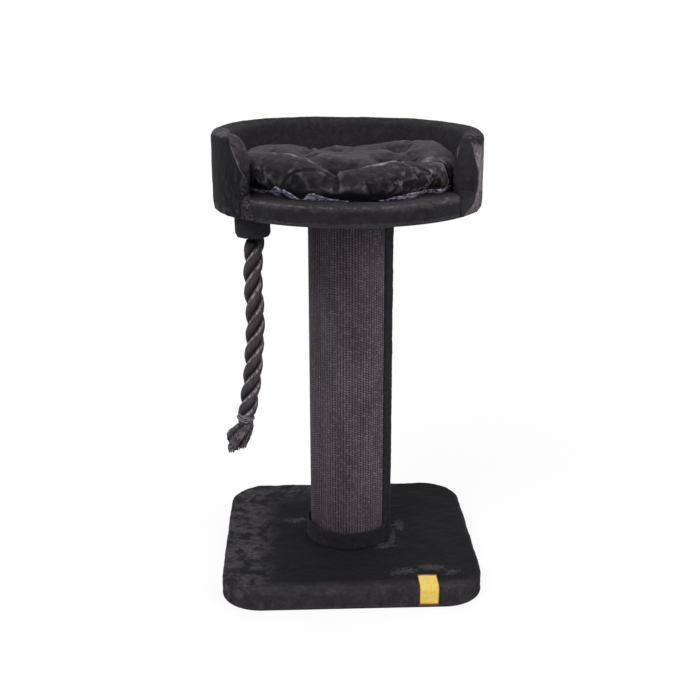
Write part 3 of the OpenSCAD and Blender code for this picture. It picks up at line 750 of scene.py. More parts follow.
class SCRATCHER_OT_rope(bpy.types.Operator):
    """Three-strand rope with its whipping and frayed end"""
    bl_idname = "scratcher.rope"
    bl_label = "Rope"

    def execute(self, context):
        plan = context.scene.scratcher_rope
        path = from_knot(ROUTE)
        line = self.curve("rope_line", from_knot((*HEAD, *ROUTE[2:])))
        # Dark and light tones of the rope and fray: the light one carries the strands' painted highlights
        colours = (0.006, 0.005, 0.006), (0.5, 0.43, 0.48)
        length = sum((b - a).length for a, b in zip(path, path[1:]))
        rope = self.strands(plan, line, length + self.head_length, yarn("rope_yarn", *colours, laid))
        whipping = self.whipping(path[-2], path[-2].lerp(path[-1], self.bound_share))
        fray = self.fray(plan, yarn("fray_yarn", *colours, loose))
        carry(rope, "rope", "rope", "rope")
        carry(whipping, "rope", "thread", "rope_whipping")
        carry(fray, "rope", "rope", "rope_frayed_end")
        return {"FINISHED"}

    # Length of the line above the route's start, and the share of the last stretch under the thread
    head_length = 9.4 * MM
    bound_share = 0.62
    # Points round a strand, and the length over which the strands draw together at the knot
    sides = 44
    head = 26 * MM

    def curve(self, name, points):
        data = bpy.data.curves.new(name, "CURVE")
        data.dimensions = "3D"
        spline = data.splines.new("POLY")
        smooth_line = catmull(points, 8)
        spline.points.add(len(smooth_line) - 1)
        for p, q in zip(spline.points, smooth_line):
            p.co = (*q, 1)
        return new_object(name, data)

    def strands(self, plan, line, length, finish):
        """Three strands round the line, further apart at the knot and drawn together under the thread."""
        g = Growth("Rope strands", Strands=3, Lay=plan.lay, Strand_radius=plan.strand, Spread=plan.spread,
                   Head_spread=10.6 * MM, Bound_spread=5.8 * MM, Length=length, Phase=plan.phase,
                   Yarn_lay=112 * MM, Finish=finish)
        fine = g.geo("ResampleCurve", {"Curve": g["Geometry"], "Length": 2.4 * MM}, mode="LENGTH")
        copies = g.geo("DuplicateElements", {"Geometry": fine, "Amount": g["Strands"]}, domain="SPLINE")
        which = Sock(g, copies.socket.node.outputs["Duplicate Index"])
        along = g.geo("SplineParameter", out="Length")
        tangent, normal = g.geo("InputTangent"), g.geo("InputNormal")
        side = g.vector("CROSS_PRODUCT", tangent, normal)
        angle = (along / g["Lay"] + which / g["Strands"]) * TAU + g["Phase"]
        near = ((self.head - along) / self.head).most(0.0)
        tail = ((along - g["Length"] + 0.03) / 0.014).most(0.0).least(1.0)
        spread = g["Spread"] + (g["Head spread"] - g["Spread"]) * ease(near)
        spread = spread + (g["Bound spread"] - g["Spread"]) * ease(tail)
        offset = g.vector("ADD", g.vector("SCALE", normal, scale=angle.cos() * spread),
                          g.vector("SCALE", side, scale=angle.sin() * spread))
        placed = g.geo("SetPosition", {"Geometry": copies, "Offset": offset})
        twisted = g.geo("SetCurveTilt", {"Curve": placed, "Tilt": along / g["Yarn lay"] * -TAU})
        ribbed = (0.985 + 0.015 * g.ribs(11)) * g["Strand radius"]
        at = g.vector("SCALE", g.geo("InputPosition"), scale=ribbed)
        section = g.geo("SetPosition", {"Geometry": g.circle(self.sides, 1.0), "Position": at})
        made = g.run("rope_strands", g.sweep(twisted, section), finish, line)
        self.mark_lay(made.data)
        ruffle(made.data, [(0.006, 0.35 * MM, 51), (0.0022, 0.25 * MM, 52)])
        return made

    def mark_lay(self, mesh):
        """Stores how far each point lies from the rope's line, and how far up its strand's side it is."""
        # The strands' finish paints its highlight and shade from these two values
        at = places(mesh).reshape(3, -1, self.sides, 3)
        centre = at.mean(axis=2, keepdims=True)
        line = centre.mean(axis=0, keepdims=True)
        along = np.gradient(centre, axis=1)
        along /= np.linalg.norm(along, axis=3, keepdims=True)
        out = centre - line
        out -= (out * along).sum(axis=3, keepdims=True) * along
        out /= np.maximum(np.linalg.norm(out, axis=3, keepdims=True), 1e-9)
        up = np.cross(along, out)
        up *= np.sign(up[..., 2:3])
        arm = at - centre
        arm /= np.linalg.norm(arm, axis=3, keepdims=True)
        mark(mesh, "upper", (arm * up).sum(axis=3).ravel())
        far = np.linalg.norm(at - line, axis=3)
        mark(mesh, "out", (far / np.maximum(far.max(axis=(0, 2), keepdims=True), 1e-9)).ravel())

    def whipping(self, start, end):
        """Thread wound round the rope over the last stretch of its route, with a few turns across."""
        finish = cloth("waxed_thread", (0.05, 0.043, 0.05), (0.42, 0.38, 0.4))
        g = Growth("Whipping", Turns=3.6, Radius=15.1 * MM, Cross_turns=1.3, Cross_radius=16.1 * MM,
                   Thread=0.9 * MM, Length=(end - start).length, Finish=finish)
        turn = Vector((0, 0, 1)).rotation_difference((end - start).normalized()).to_euler()
        ring = g.circle(6, g["Thread"])
        parts = []
        for kind, back in (("", False), ("Cross ", True), ("Cross ", False)):
            turns, radius = g[(kind + "turns").capitalize()], g[(kind + "radius").capitalize()]
            spiral = g.geo("CurveSpiral", {
                "Resolution": 30, "Rotations": turns, "Start Radius": radius, "End Radius": radius,
                "Height": g["Length"], "Reverse": back})
            placed = g.geo("Transform", {
                "Geometry": spiral, "Translation": tuple(start), "Rotation": tuple(turn)})
            parts.append(g.sweep(placed, ring))
        joined = g.geo("JoinGeometry", {0: parts[0]})
        for part in parts[1:]:
            g.tree.links.new(part.socket, joined.socket.node.inputs[0])
        return g.run("rope_whipping_thread", joined, finish)

    def fray(self, plan, finish):
        """Three opened strands of loose yarns below the whipping, in a short round brush."""
        line = self.curve("fray_line", from_knot(TASSEL))
        g = Growth("Frayed end", Yarns=plan.yarns, Radius=15.4 * MM, Bulge=13.0 * MM, Yarn_radius=1.4 * MM,
                   Twist=-1.5, Phase=-1.05, Seed=4, Finish=finish)
        index = g.geo("InputIndex")
        strand = index % 3.0
        own = (index / 3.0).floor()

        # The yarns of a strand lie on a sunflower spiral round the strand's middle
        out_by = ((own + 0.5) / g["Yarns"]) ** 0.5 * 0.47
        turn, toward = own * GOLDEN_ANGLE, strand * (TAU / 3) + g["Phase"]
        flat = g.join(toward.cos() * 0.53 + turn.cos() * out_by, toward.sin() * 0.53 + turn.sin() * out_by)
        dots = g.store(g.dots(g["Yarns"] * 3, flat), "spot", flat, "FLOAT_VECTOR")
        dots = g.store(dots, "long", g.random(0.86, 1.0))
        hair = g.geo("CurvePrimitiveLine", {"End": (0, 0, 1)})
        hair = g.geo("ResampleCurve", {"Curve": hair, "Count": 16}, mode="COUNT")
        copies = g.planted(hair, dots)

        # Each yarn follows the line, twists, bulges and waves
        spot = g.named("spot", "FLOAT_VECTOR")
        t = g.geo("SplineParameter", out="Factor") * g.named("long")
        guide = g.geo("ObjectInfo", {"Object": line}, out="Geometry", transform_space="RELATIVE")
        centre = g.geo("SampleCurve", {"Curves": guide, "Factor": t}, out="Position",
                       mode="FACTOR", use_all_curves=True)
        sx, sy, _ = g.split(spot)
        bent = t * g["Twist"]
        px, py = sx * bent.cos() - sy * bent.sin(), sx * bent.sin() + sy * bent.cos()
        wave = g.add("ShaderNodeTexNoise", None, {
            "Vector": g.vector("ADD", g.vector("SCALE", spot, scale=2.6), g.join(z=t * 2.0)),
            "Scale": 2.4, "Detail": 1.0}, out="Color")
        wave = g.vector("SUBTRACT", wave, (0.5, 0.5, 0.5))
        wide = g["Radius"] + g["Bulge"] * ((t ** 0.8) * math.pi).sin()
        off = g.vector("SCALE", g.join(px * 0.96 + t * 0.06, py, px * 0.25), scale=wide)
        off = g.vector("ADD", off, g.vector("SCALE", wave, scale=t * 0.009))
        # Depth in the brush, for the finish's painted shade inside it
        copies = g.store(copies, "deep", g.vector("LENGTH", spot, out="Value"))
        bent = g.geo("SetPosition", {"Geometry": copies, "Position": g.vector("ADD", centre, off)})
        thin = g.geo("SetCurveRadius", {"Curve": bent, "Radius": 1.0 - 0.35 * t * t})
        ring = g.store(g.circle(6, g["Yarn radius"]), "crest", 0.5 + 0.5 * g.ribs(2))
        made = g.run("rope_fray", g.tube(thin, ring), finish)
        bpy.data.objects.remove(line)
        return made


class SCRATCHER_OT_base(bpy.types.Operator):
    """Plush of the base and its yellow tab"""
    bl_idname = "scratcher.base"
    bl_label = "Base"

    def execute(self, context):
        plan = context.scene.scratcher_plush

        def crushed(f, x, y, z):
            left = f.step(x, -0.13, -0.2)
            front = f.step(y, -0.2, -0.232)
            back = f.step(y, 0.12, 0.2) * f.step(x, 0.02, -0.08)
            blot = f.step(f.noise(38, 4.0, 0.68, warp=0.25), 0.4, 0.6)
            worn = ((left * 0.75).most(back * 0.55) * blot).most(front * (0.34 + 0.2 * blot))
            rough = f.noise(130, 3.0, 0.75, warp=0.8) - 0.5
            for u, v, long, wide, turn, light in self.marks:
                dx, dy = x - u, y - v
                across = (dx * math.cos(turn) + dy * math.sin(turn)) / long
                along = (dy * math.cos(turn) - dx * math.sin(turn)) / wide
                far = reach(across, along)
                worn = worn.most(f.step(far + rough * 3.4, 1.0, 0.4) * light * 0.8)
            return worn

        dark = tuple(c * 0.72 for c in plan.dark)
        finish = plush("base_plush", dark, tuple(plan.crushed), 0.8, crushed, ridge=0.12, cloud=0.03)
        piece = self.skin(plan.step, finish)
        layers = [(0.05, 1.2 * MM, 1), (0.016, 0.7 * MM, 2), (0.006, 0.45 * MM, 3)]
        ruffle(piece.data, layers, self.share(piece.data))
        napped(piece, 14, 0.9 * MM, "base_cover")
        self.tab(context.scene.scratcher_tab)
        return {"FINISHED"}

    # Places where the pile was brushed: middle, half length, half width, turn and lightness
    marks = [
        (-0.108, 0.056, 0.030, 0.012, 0.15, 1.0), (-0.079, -0.01, 0.006, 0.03, 0.2, 0.9),
        (0.088, -0.03, 0.008, 0.05, -0.1, 0.7), (0.105, 0.02, 0.012, 0.03, 0.0, 0.9),
        (0.072, -0.068, 0.026, 0.012, 0.5, 0.9), (0.1, -0.175, 0.03, 0.014, 0.1, 0.8),
        (0.152, -0.163, 0.03, 0.014, -0.1, 0.9), (0.19, -0.182, 0.02, 0.012, 0.3, 0.8),
        (-0.19, 0.05, 0.02, 0.03, 0.4, 0.8),
    ]

    def share(self, mesh):
        """None of the ruffle on the underside and beneath the post."""
        at = places(mesh)
        return smooth((at[:, 2] - 0.002) / 0.006) * smooth((radii(at) - 0.07) / 0.02)

    def skin(self, step, finish):
        """Plush over the board: from the hem below, up the sides and over the top, and back inside."""
        half_w, half_d, corner, hem = BASE[1].x, BASE[1].y, 78 * MM, 42 * MM
        edge, thick, top, hub_r, inwards = 8 * MM, 3.5 * MM, BASE_TOP, 50 * MM, 60
        straight = [2 * (half_d - corner), 2 * (half_w - corner)] * 2
        bend = corner * math.pi / 2
        whole = sum(straight) + 4 * bend
        count = int(whole / step)

        def outline(inset):
            """Round-cornered outline, with the same number of points on each side whatever the inset."""
            w, d, r = half_w - inset, half_d - inset, max(corner - inset, 4 * MM)
            centres = [(w - r, d - r), (-w + r, d - r), (-w + r, -d + r), (w - r, -d + r)]
            found = []
            for k in range(count):
                s = k / count * whole
                for side in range(4):
                    a, b = centres[side - 1], centres[side]
                    if s < straight[side]:
                        t, angle = s / straight[side], side * math.pi / 2
                        middle = (a[0] + (b[0] - a[0]) * t, a[1] + (b[1] - a[1]) * t)
                        break
                    s -= straight[side]
                    if s < bend:
                        middle, angle = b, (side + s / bend) * math.pi / 2
                        break
                    s -= bend
                found.append((middle[0] + r * math.cos(angle), middle[1] + r * math.sin(angle)))
            return np.array(found)

        rows = [(hem, 0.0), (hem * 0.5, 0.0), (2 * MM, 0.0), (0.5 * MM, 0.5 * MM), (0.0, 2.5 * MM)]
        rows += [(0.0, z) for z in np.linspace(5 * MM, top - edge, 12)]
        rows += arc(edge, top - edge, -edge, edge, quarter(6))
        rows += [(edge + s, top) for s in np.arange(step, 0.066, step)]
        rings = [level(outline(inset), z) for inset, z in rows]
        last = outline(rows[-1][0])
        hub = last / np.linalg.norm(last, axis=1)[:, None] * hub_r
        rings += [level(last + (hub - last) * k / inwards, top) for k in range(1, inwards + 1)]
        rings.append(level(hub, top - thick))
        for inset, z in ((thick + 4 * MM, top - thick), (thick, top - edge), (thick, 2 * MM), (hem, 2 * MM)):
            rings.append(level(outline(inset), z))
        return lofted("base_plush", rings, finish, capped=False)

    def tab(self, plan):
        """Ribbon that lies over the front edge, bulging a little at its sides."""
        lo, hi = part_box("label_tab")
        wide, thick, edge, over = hi.x - lo.x, 1.2 * MM, 8 * MM, 0.9 * MM
        front, top = BASE[0].y, BASE_TOP
        line = [(front - over, z) for z in np.linspace(lo.z, top - edge, 14)]
        line += arc(front + edge, top - edge, -(edge + over), edge + over, quarter(9))
        line += [(y, top + over) for y in np.linspace(front + edge, hi.y, 16)[1:]]
        line = np.array(line)
        run = np.concatenate([[0], np.cumsum(np.linalg.norm(np.diff(line, axis=0), axis=1))])
        across = np.linspace(-0.5, 0.5, 17)
        side = np.gradient(line, axis=0)
        side = np.column_stack([-side[:, 1], side[:, 0]])
        side /= np.linalg.norm(side, axis=1)[:, None]
        points, uvs = [], []
        for lift in (0.3 * MM, 0.3 * MM + thick):
            for (y, z), n, t in zip(line, side, run / run[-1]):
                for s in across:
                    bulge = 1 + 0.045 * math.sin(math.pi * t) * (1 if s > 0 else 0.4)
                    off = lift + 0.5 * MM * math.sin(7 * s + 9 * t) * (1 - t * 0.5)
                    x = hi.x - wide / 2 + 1.5 * MM + s * wide * bulge
                    points.append((x, y + n[0] * off, z + n[1] * off))
                    uvs.append((s + 0.5, t))
        rows, cols = len(line), len(across)
        layer = rows * cols
        low = ring_faces(rows, cols, wrap=False)
        faces = low + [[i + layer for i in q] for q in low]
        rim = [r * cols for r in range(rows)] + [(rows - 1) * cols + c for c in range(1, cols)]
        rim += [r * cols + cols - 1 for r in range(rows - 2, -1, -1)] + list(range(cols - 2, 0, -1))
        faces += [[a, b, b + layer, a + layer] for a, b in zip(rim, rim[1:] + rim[:1])]
        finish = tab_cloth(tuple(plan.face), tuple(plan.edge))
        piece = mesh_object("tab_ribbon", points, faces, finish)
        chart = piece.data.uv_layers.new(name="cloth")
        for loop in piece.data.loops:
            chart.data[loop.index].uv = uvs[loop.vertex_index]
        carry(piece, "stand", "label", "label_tab")


class SCRATCHER_OT_post(bpy.types.Operator):
    """Sisal mat, plush strip and foot band of the post"""
    bl_idname = "scratcher.post"
    bl_label = "Post"

    def execute(self, context):
        plan, pile = context.scene.scratcher_post, context.scene.scratcher_plush
        colours = tuple(pile.dark), tuple(pile.crushed)
        carry(self.mat(plan), "stand", "sisal", "sisal_mat")
        finish = plush("strip_plush", *colours, 0.7, ridge=0.35)
        rows = int((BED_Z - BASE_TOP) / (3.4 * MM))
        strip = self.bent("strip_plush", plan.edge - math.pi / 2, plan.strip,
                          TUBE_R + 0.5 * MM, MAT_R + 3.6 * MM, finish, rows)
        shift(strip.data, 1.4 * MM)
        ruffle(strip.data, [(0.03, 0.8 * MM, 5), (0.007, 0.7 * MM, 6)],
               smooth((radii(places(strip.data)) - MAT_R + 3 * MM) / (2 * MM)))
        napped(strip, 6, 0.8 * MM, "post_plush_strip")
        band = self.band(plush("band_plush", *colours, 0.6, self.foot, ridge=0.05))
        napped(band, 6, 0.8 * MM, "post_foot_band")
        return {"FINISHED"}

    def foot(self, f, x, y, z):
        """The band is a little lighter towards its foot."""
        return 0.26 + f.step(z, 0.06, 0.05) * 0.08

    def mat(self, plan):
        """Upright cords with a knot every few millimetres, laid side by side round the tube."""
        sweep = TAU - plan.strip
        start = -math.pi / 2 + plan.edge + plan.strip
        count = int(sweep * (MAT_R - 2.5 * MM) / plan.pitch)
        finish = sisal(start, sweep, count, plan.bead)
        g = Growth("Sisal mat", Cords=count, Start=start, Sweep=sweep, Radius=MAT_R - 3.6 * MM,
                   Cord_radius=2.75 * MM, Knot_pitch=plan.bead, Foot=BASE_TOP + 0.3 * MM,
                   Height=BED_Z - BASE_TOP - 0.6 * MM, Seed=3, Finish=finish)
        angle = g["Start"] + (g.geo("InputIndex") + 0.5) / g["Cords"] * g["Sweep"]
        foot = g.join(angle.cos() * g["Radius"], angle.sin() * g["Radius"], g["Foot"])
        dots = g.store(g.dots(g["Cords"], foot), "shift", g.random(0.0, TAU))
        cord = g.geo("CurvePrimitiveLine", {"End": g.join(z=g["Height"])})
        cord = g.geo("ResampleCurve", {"Curve": cord, "Length": g["Knot pitch"] / 2.0}, mode="LENGTH")
        cords = g.planted(cord, dots, g.join(z=angle))
        along = g.geo("SplineParameter", out="Length")
        rough = g.add("ShaderNodeTexNoise", None, {
            "Vector": g.geo("InputPosition"), "Scale": 170.0, "Detail": 1.0})
        swell = (along / g["Knot pitch"] * TAU + g.named("shift")).cos()
        fat = 0.9 + 0.1 * swell + (rough - 0.5) * 0.4
        cords = g.geo("SetCurveRadius", {"Curve": cords, "Radius": fat})
        cords = g.run("sisal_cords", g.tube(cords, g.circle(5, g["Cord radius"])), finish)
        shift(cords.data, 2.4 * MM)
        black = cloth("mat_backing", (0.012, 0.011, 0.012), (0.04, 0.036, 0.04))
        backing = self.bent("sisal_backing", start, sweep, TUBE_R + 0.3 * MM, MAT_R - 4 * MM, black, 4)
        carry(backing, "stand", "sisal", "sisal_mat")
        return cords

    def bent(self, name, start, sweep, low, high, finish, rows):
        """A closed curved plate from base to bed, with rounded upright edges and a number of rows."""
        wide = max(8, int(sweep * high / (3.2 * MM)))
        half = wide // 2
        section = []
        for k in range(wide + 1):
            rounded = min(1.0, 0.35 + 0.65 * min(1.0, min(k, wide - k) / 2))
            section.append((low + (high - low) * rounded, sweep * k / wide))
        section += [(low, sweep * k / half) for k in range(half, -1, -1)]
        flat = np.array([(r * math.cos(start + a), r * math.sin(start + a)) for r, a in section])
        heights = np.linspace(BASE_TOP, BED_Z - 0.3 * MM, rows)
        return lofted(name, [level(flat, z) for z in heights], finish)

    def band(self, finish):
        """Plush band round the foot, rolled over at its upper edge."""
        lo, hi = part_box("post_foot_band")
        out, inner, top = hi.x, MAT_R + 0.1 * MM, hi.z
        mid, half = (out + inner) / 2, (out - inner) / 2
        section = [(inner, lo.z)] + [(out, z) for z in np.linspace(lo.z, top - 3 * MM, 10)]
        section += arc(mid, top - 2 * MM, half, 2 * MM, np.linspace(0, math.pi, 7))
        section += [(inner, z) for z in np.linspace(top - 3 * MM, lo.z, 4)[:-1]]
        made = turned("foot_band_plush", section, 180, finish)
        ruffle(made.data, [(0.03, 0.9 * MM, 8), (0.008, 0.6 * MM, 9)],
               smooth((radii(places(made.data)) - inner - 1 * MM) / (2 * MM)))
        return made


class SCRATCHER_OT_bed(bpy.types.Operator):
    """Plush of the bed's floor and wall, and the rope's collar"""
    bl_idname = "scratcher.bed"
    bl_label = "Bed"

    def execute(self, context):
        plan = context.scene.scratcher_plush
        dark, crushed = tuple(plan.dark), tuple(plan.crushed)
        lip = plush("lip_plush", dark, crushed, 0.9, self.lip, ridge=0.4, cloud=0.1)
        floor = self.floor(plan.step, lip)
        ruffle(floor.data, [(0.045, 1.6 * MM, 11), (0.014, 1.0 * MM, 12), (0.006, 0.5 * MM, 13)],
               smooth((places(floor.data)[:, 2] - BED_Z - 3 * MM) / (4 * MM)))
        at = places(floor.data)
        turn = np.degrees(np.arctan2(at[:, 1], at[:, 0]))
        # The floor's edge is drawn in where the wall hides it
        hidden = smooth((turn + 24) / 6) + smooth((-146 - turn) / 6) * (turn < 0)
        at[:, :2] *= (1 - 0.018 * hidden * (radii(at) > 0.23))[:, None]
        put(floor.data, at)
        napped(floor, 10, 1.4 * MM, "bed_floor_cover")

        # Pale colour of the wall's painted highlights and painted light
        pale = tuple(c * 2.4 for c in crushed)
        wall = self.wall(plan.step, plush("wall_plush", tuple(c * 0.8 for c in dark), pale, 0.33,
                                          self.worn, ridge=0.08, cloud=0.05))
        napped(wall, 10, 1.3 * MM, "wall_cover", "wall_lining")
        collar = self.collar(plush("collar_plush", dark, crushed, 0.8, lambda f, x, y, z: 0.2))
        carry(collar, "stand", "plush", "rope_collar")
        return {"FINISHED"}

    def lip(self, f, x, y, z):
        """Lighter towards the lip's upper edge; painted highlights along its round top and a curl at its
        right end.
        """
        cloud = f.step(f.noise(22, 2.0, 0.6, at=f.stretch(0.6, 1, 1), warp=0.6), 0.35, 0.65, 0.35, 1.0)
        out_by = reach(x, y)
        # Painted highlight along the lip's rounded top
        crest = f.step((out_by - FLOOR_R + 4 * MM).size(), 2.6 * MM, 0.8 * MM)
        crest = crest * f.step(z, FLOOR_Z - 7 * MM, FLOOR_Z - 4 * MM)
        fleck = f.step(f.noise(120, 2.0, 0.6, warp=0.8), 0.44, 0.58, 0.25, 1.0)
        edge = (cloud * f.step(z, FLOOR_Z - 0.014, FLOOR_Z - 0.003, 0.2, 0.5)).most(crest * fleck * 1.1)
        # Painted highlight in a curl at the lip's right end
        curl = f.step((x * 0.35 - z + FLOOR_Z - 0.0585).size(), 2.2 * MM, 0.6 * MM)
        curl = curl * f.step(x, 0.145, 0.16) * f.step(y, -0.14, -0.155)
        return edge.most(curl * 1.3)

    def worn(self, f, x, y, z):
        """Mostly painted highlights at the ends and left corner, painted light inside, pale hem; places in
        metres.
        """
        near, out_by = f.own("near"), reach(x, y)
        blot = f.step(f.noise(80, 3.0, 0.65, at=f.stretch(1, 1, 0.4), warp=1.0), 0.42, 0.58)
        # Painted light on the wall's shaded inside, towards the back
        inner = f.step(out_by, WALL_IN_R + 12 * MM, WALL_IN_R + 2 * MM) * f.step(y, -0.05, 0.1) * 0.17
        hem = f.step(z, 0.745, 0.73) * f.step(f.noise(45, 2.0, 0.6), 0.5, 0.62) * f.step(x, -0.1, -0.15) * 0.7

        # Left end: painted highlights on a seam across it, on crinkles below the seam and a pale corner above
        left = f.step(x, 0.0, -0.05) * f.step(y, 0.02, -0.02)
        across = (x + z * SEAM_TILT - SEAM_AT) / SEAM_SCALE
        seam = f.step(across.size(), 1.9 * MM, 0.4 * MM) * f.step(z, 0.793, 0.8) * f.step(z, 0.857, 0.845)
        beyond = f.step(across, 0.0, 2 * MM) * f.step(z, 0.8, 0.815) * (0.3 + 0.5 * blot)
        curl = f.step((f.noise(230, 1.0, 0.5, at=f.stretch(1, 1, 0.85), warp=1.5) - 0.5).size(), 0.05, 0.01)
        lines = f.noise(110, 2.0, 0.6, at=f.stretch(1, 1, 0.45), warp=1.2)
        crinkle = curl * f.step(x, -0.196, -0.189)
        crinkle = crinkle * f.step(z, 0.802, 0.795) * f.step(z, 0.735, 0.79, 0.45, 1.0)
        high = f.step(z, WALL_TOP - 3 * MM, WALL_TOP + 2 * MM)
        corner = f.step(x, -0.211, -0.218) * (0.15 + 0.85 * blot)
        corner = high * corner.most(f.step(lines, 0.55, 0.65) * 0.35)
        left = left * (seam * (1.0 + blot)).most(beyond).most(crinkle * 2.6).most(corner * 1.5)

        # Right end: a dark smooth face; painted highlights in a bright strip outside it and pale curls on top
        right = f.step(x, 0.1, 0.15) * f.step(y + (lines - 0.5) * 0.12, -0.05, -0.085)
        bound = 0.2285 - (((z - 0.785).size() - 0.012).most(0.0)) * 0.3 - (0.745 - z).most(0.0)
        # The strip is stretched pile, lighter, with a painted highlight on it
        strip = f.step(x - bound, -1.2 * MM, 1.5 * MM) * f.step(z + blot * 0.008, 0.856, 0.828)
        strip = strip * f.step((lines - 0.5).size(), 0.0, 0.05, 0.3, 1.0)
        strip = strip * f.step(z, 0.722, 0.775, 0.45, 1.0)
        arcs = curl * f.step(z, 0.85, 0.858) * f.step(x, 0.19, 0.196)
        # Painted highlight along the end face's inner edge
        inside = (x - 0.196 + (0.864 - z) * 0.174).size()
        inside = f.step(inside, 1.6 * MM, 0.5 * MM) * f.step(z, 0.818, 0.83) * f.step(z, 0.872, 0.864)
        right = right * (strip * 3.6).most(near * 0.26).most(arcs * 2.0).most(inside * 1.5)
        return left.most(right).most(inner * 2.4).most(hem)

    def floor(self, step, finish):
        """Plush over the floor board, with a soft front lip."""
        low, top, edge, thick, hub = BED_Z + 2 * MM, FLOOR_Z, 9 * MM, 3.5 * MM, 12 * MM
        inner = FLOOR_R - thick
        section = [(hub, top - thick), (inner, top - thick), (inner, low), (FLOOR_R - 0.5 * MM, low)]
        section += [(FLOOR_R, z) for z in np.linspace(low + 1.5 * MM, top - edge, 10)]
        section += arc(FLOOR_R - edge, top - edge, edge, edge, quarter(7))
        section += [(r, top) for r in np.linspace(FLOOR_R - edge - step, hub, 64)]
        return turned("bed_floor_plush", section, int(TAU * FLOOR_R / step), finish, capped=True)

    def wall(self, step, finish):
        """Padded wall: one section carried round the bed, with slanted ends that it is gathered at."""
        # Directions of the two ends, and how far their faces slant from the radius
        a0, a1 = math.radians(-28), math.radians(218)
        slants = math.tan(math.radians(23)), math.tan(math.radians(30))
        mid, corner, bevel = WALL_OUT_R - WALL_T / 2, 52 * MM, 8 * MM
        span = mid * (a1 - a0)
        rounding = bevel * (1 - np.cos(quarter(7)))
        where = np.concatenate([rounding, np.arange(bevel + step, span - bevel, step), span - rounding[::-1]])
        rings = []
        for s in where:
            near = min(s, span - s)
            inset = bevel - math.sqrt(max(0.0, bevel ** 2 - max(0.0, bevel - near) ** 2))
            drop = corner - math.sqrt(max(0.0, corner ** 2 - max(0.0, corner - near) ** 2))
            rise = 3.0 * MM * smooth((s - 0.42) / 0.3) + 1.0 * MM * smooth(1 - s / 0.1)
            ring = np.array(self.section(inset * 0.8, WALL_TOP + self.pile + rise - drop - inset * 0.4))
            lean = (ring[:, 0] - mid) / mid
            slant = slants[0] * smooth(1 - s / 0.12) + slants[1] * smooth(1 - (span - s) / 0.12)
            rings.append(spun(ring, a0 + s / mid + lean * slant))
        made = lofted("wall_plush", rings, finish)

        # Lumps all over, and more of them low at the two ends
        at = places(made.data)
        along = ((np.arctan2(at[:, 1], at[:, 0]) + math.pi / 2) % TAU - math.pi / 2 - a0) * mid
        near = np.maximum(smooth(1 - along / 0.06), smooth(1 - (span - along) / 0.075))
        low = smooth((0.825 - at[:, 2]) / 0.03)
        ruffle(made.data, [(0.06, 1.4 * MM, 21), (0.018, 0.5 * MM, 22), (0.0065, 0.35 * MM, 23)])
        ruffle(made.data, [(0.009, 2.4 * MM, 24), (0.022, 2.2 * MM, 25)], near * low)

        # A ridge along the right end's seam and one along the left end's slanted seam
        at = places(made.data)
        count = len(rings[0])
        gap = np.repeat(np.minimum(where, span - where), count)
        right = np.repeat(where < span / 2, count)
        seam = np.exp(-((gap - 7 * MM) / (3 * MM)) ** 2) * right
        across = np.abs(at[:, 0] + SEAM_TILT * at[:, 2] - SEAM_AT - WALL_SHIFT) / SEAM_SCALE
        stitched = np.exp(-(across / (2 * MM)) ** 2) * ~right * (at[:, 1] < -0.1) * (at[:, 2] > 0.79)
        put(made.data, at + normals(made.data) * (1.5 * MM * seam + 1.2 * MM * stitched)[:, None])
        shift(made.data, -WALL_SHIFT)
        mark(made.data, "near", near)

        # The flaps stop at two upright planes, and the left one's turns away below left_foot
        right_x, left_x, left_foot = 190 * MM, 185.7 * MM, 795 * MM

        def right_stop(r, z):
            return -np.arccos(right_x / r)

        def left_stop(r, z):
            return math.pi + np.arccos((left_x - 0.25 * np.maximum(left_foot - z, 0)) / r)

        flaps = [self.flap("right_flap", math.radians(-23), right_stop, finish),
                 self.flap("left_flap", math.radians(207), left_stop, finish)]
        with bpy.context.temp_override(active_object=made, selected_editable_objects=[made, *flaps]):
            bpy.ops.object.join()
        return made

    def flap(self, name, start, stop, finish):
        """The wall's plush drawn over the end of the front lip, up to where stop(radius, height) says."""
        edge, over, width = 9 * MM, 4.6 * MM, 33 * MM

        def outline(off):
            line = [(FLOOR_R + off, z) for z in np.linspace(BED_Z + 1.5 * MM, FLOOR_Z - edge, 16)]
            line += arc(FLOOR_R - edge, FLOOR_Z - edge, edge + off, edge + off, quarter(8))
            return line + [(r, FLOOR_Z + off) for r in np.linspace(FLOOR_R - edge, FLOOR_R - width, 10)[1:]]

        rings = []
        for k in np.linspace(0, 1, 26):
            thick = over * math.sqrt(1 - smooth((k - 0.86) / 0.14) ** 2 * 0.96)
            ring = np.array(outline(thick) + outline(-3 * MM)[::-1])
            rings.append(spun(ring, start + (stop(ring[:, 0], ring[:, 1]) - start) * k))
        made = lofted(name, rings, finish)
        ruffle(made.data, [(0.02, 0.8 * MM, 26), (0.007, 0.6 * MM, 27)])
        mark(made.data, "near", smooth((FLOOR_Z - places(made.data)[:, 2]) / (6 * MM)))
        return made

    # Height of the pile over the solid's top, twice what stands out at its side, and how far
    # the skirt's foot is drawn in
    pile = 2 * MM
    tuck = 3.4 * MM
    # The wall's rounded top is this share as high as it is half wide
    dome = 0.86

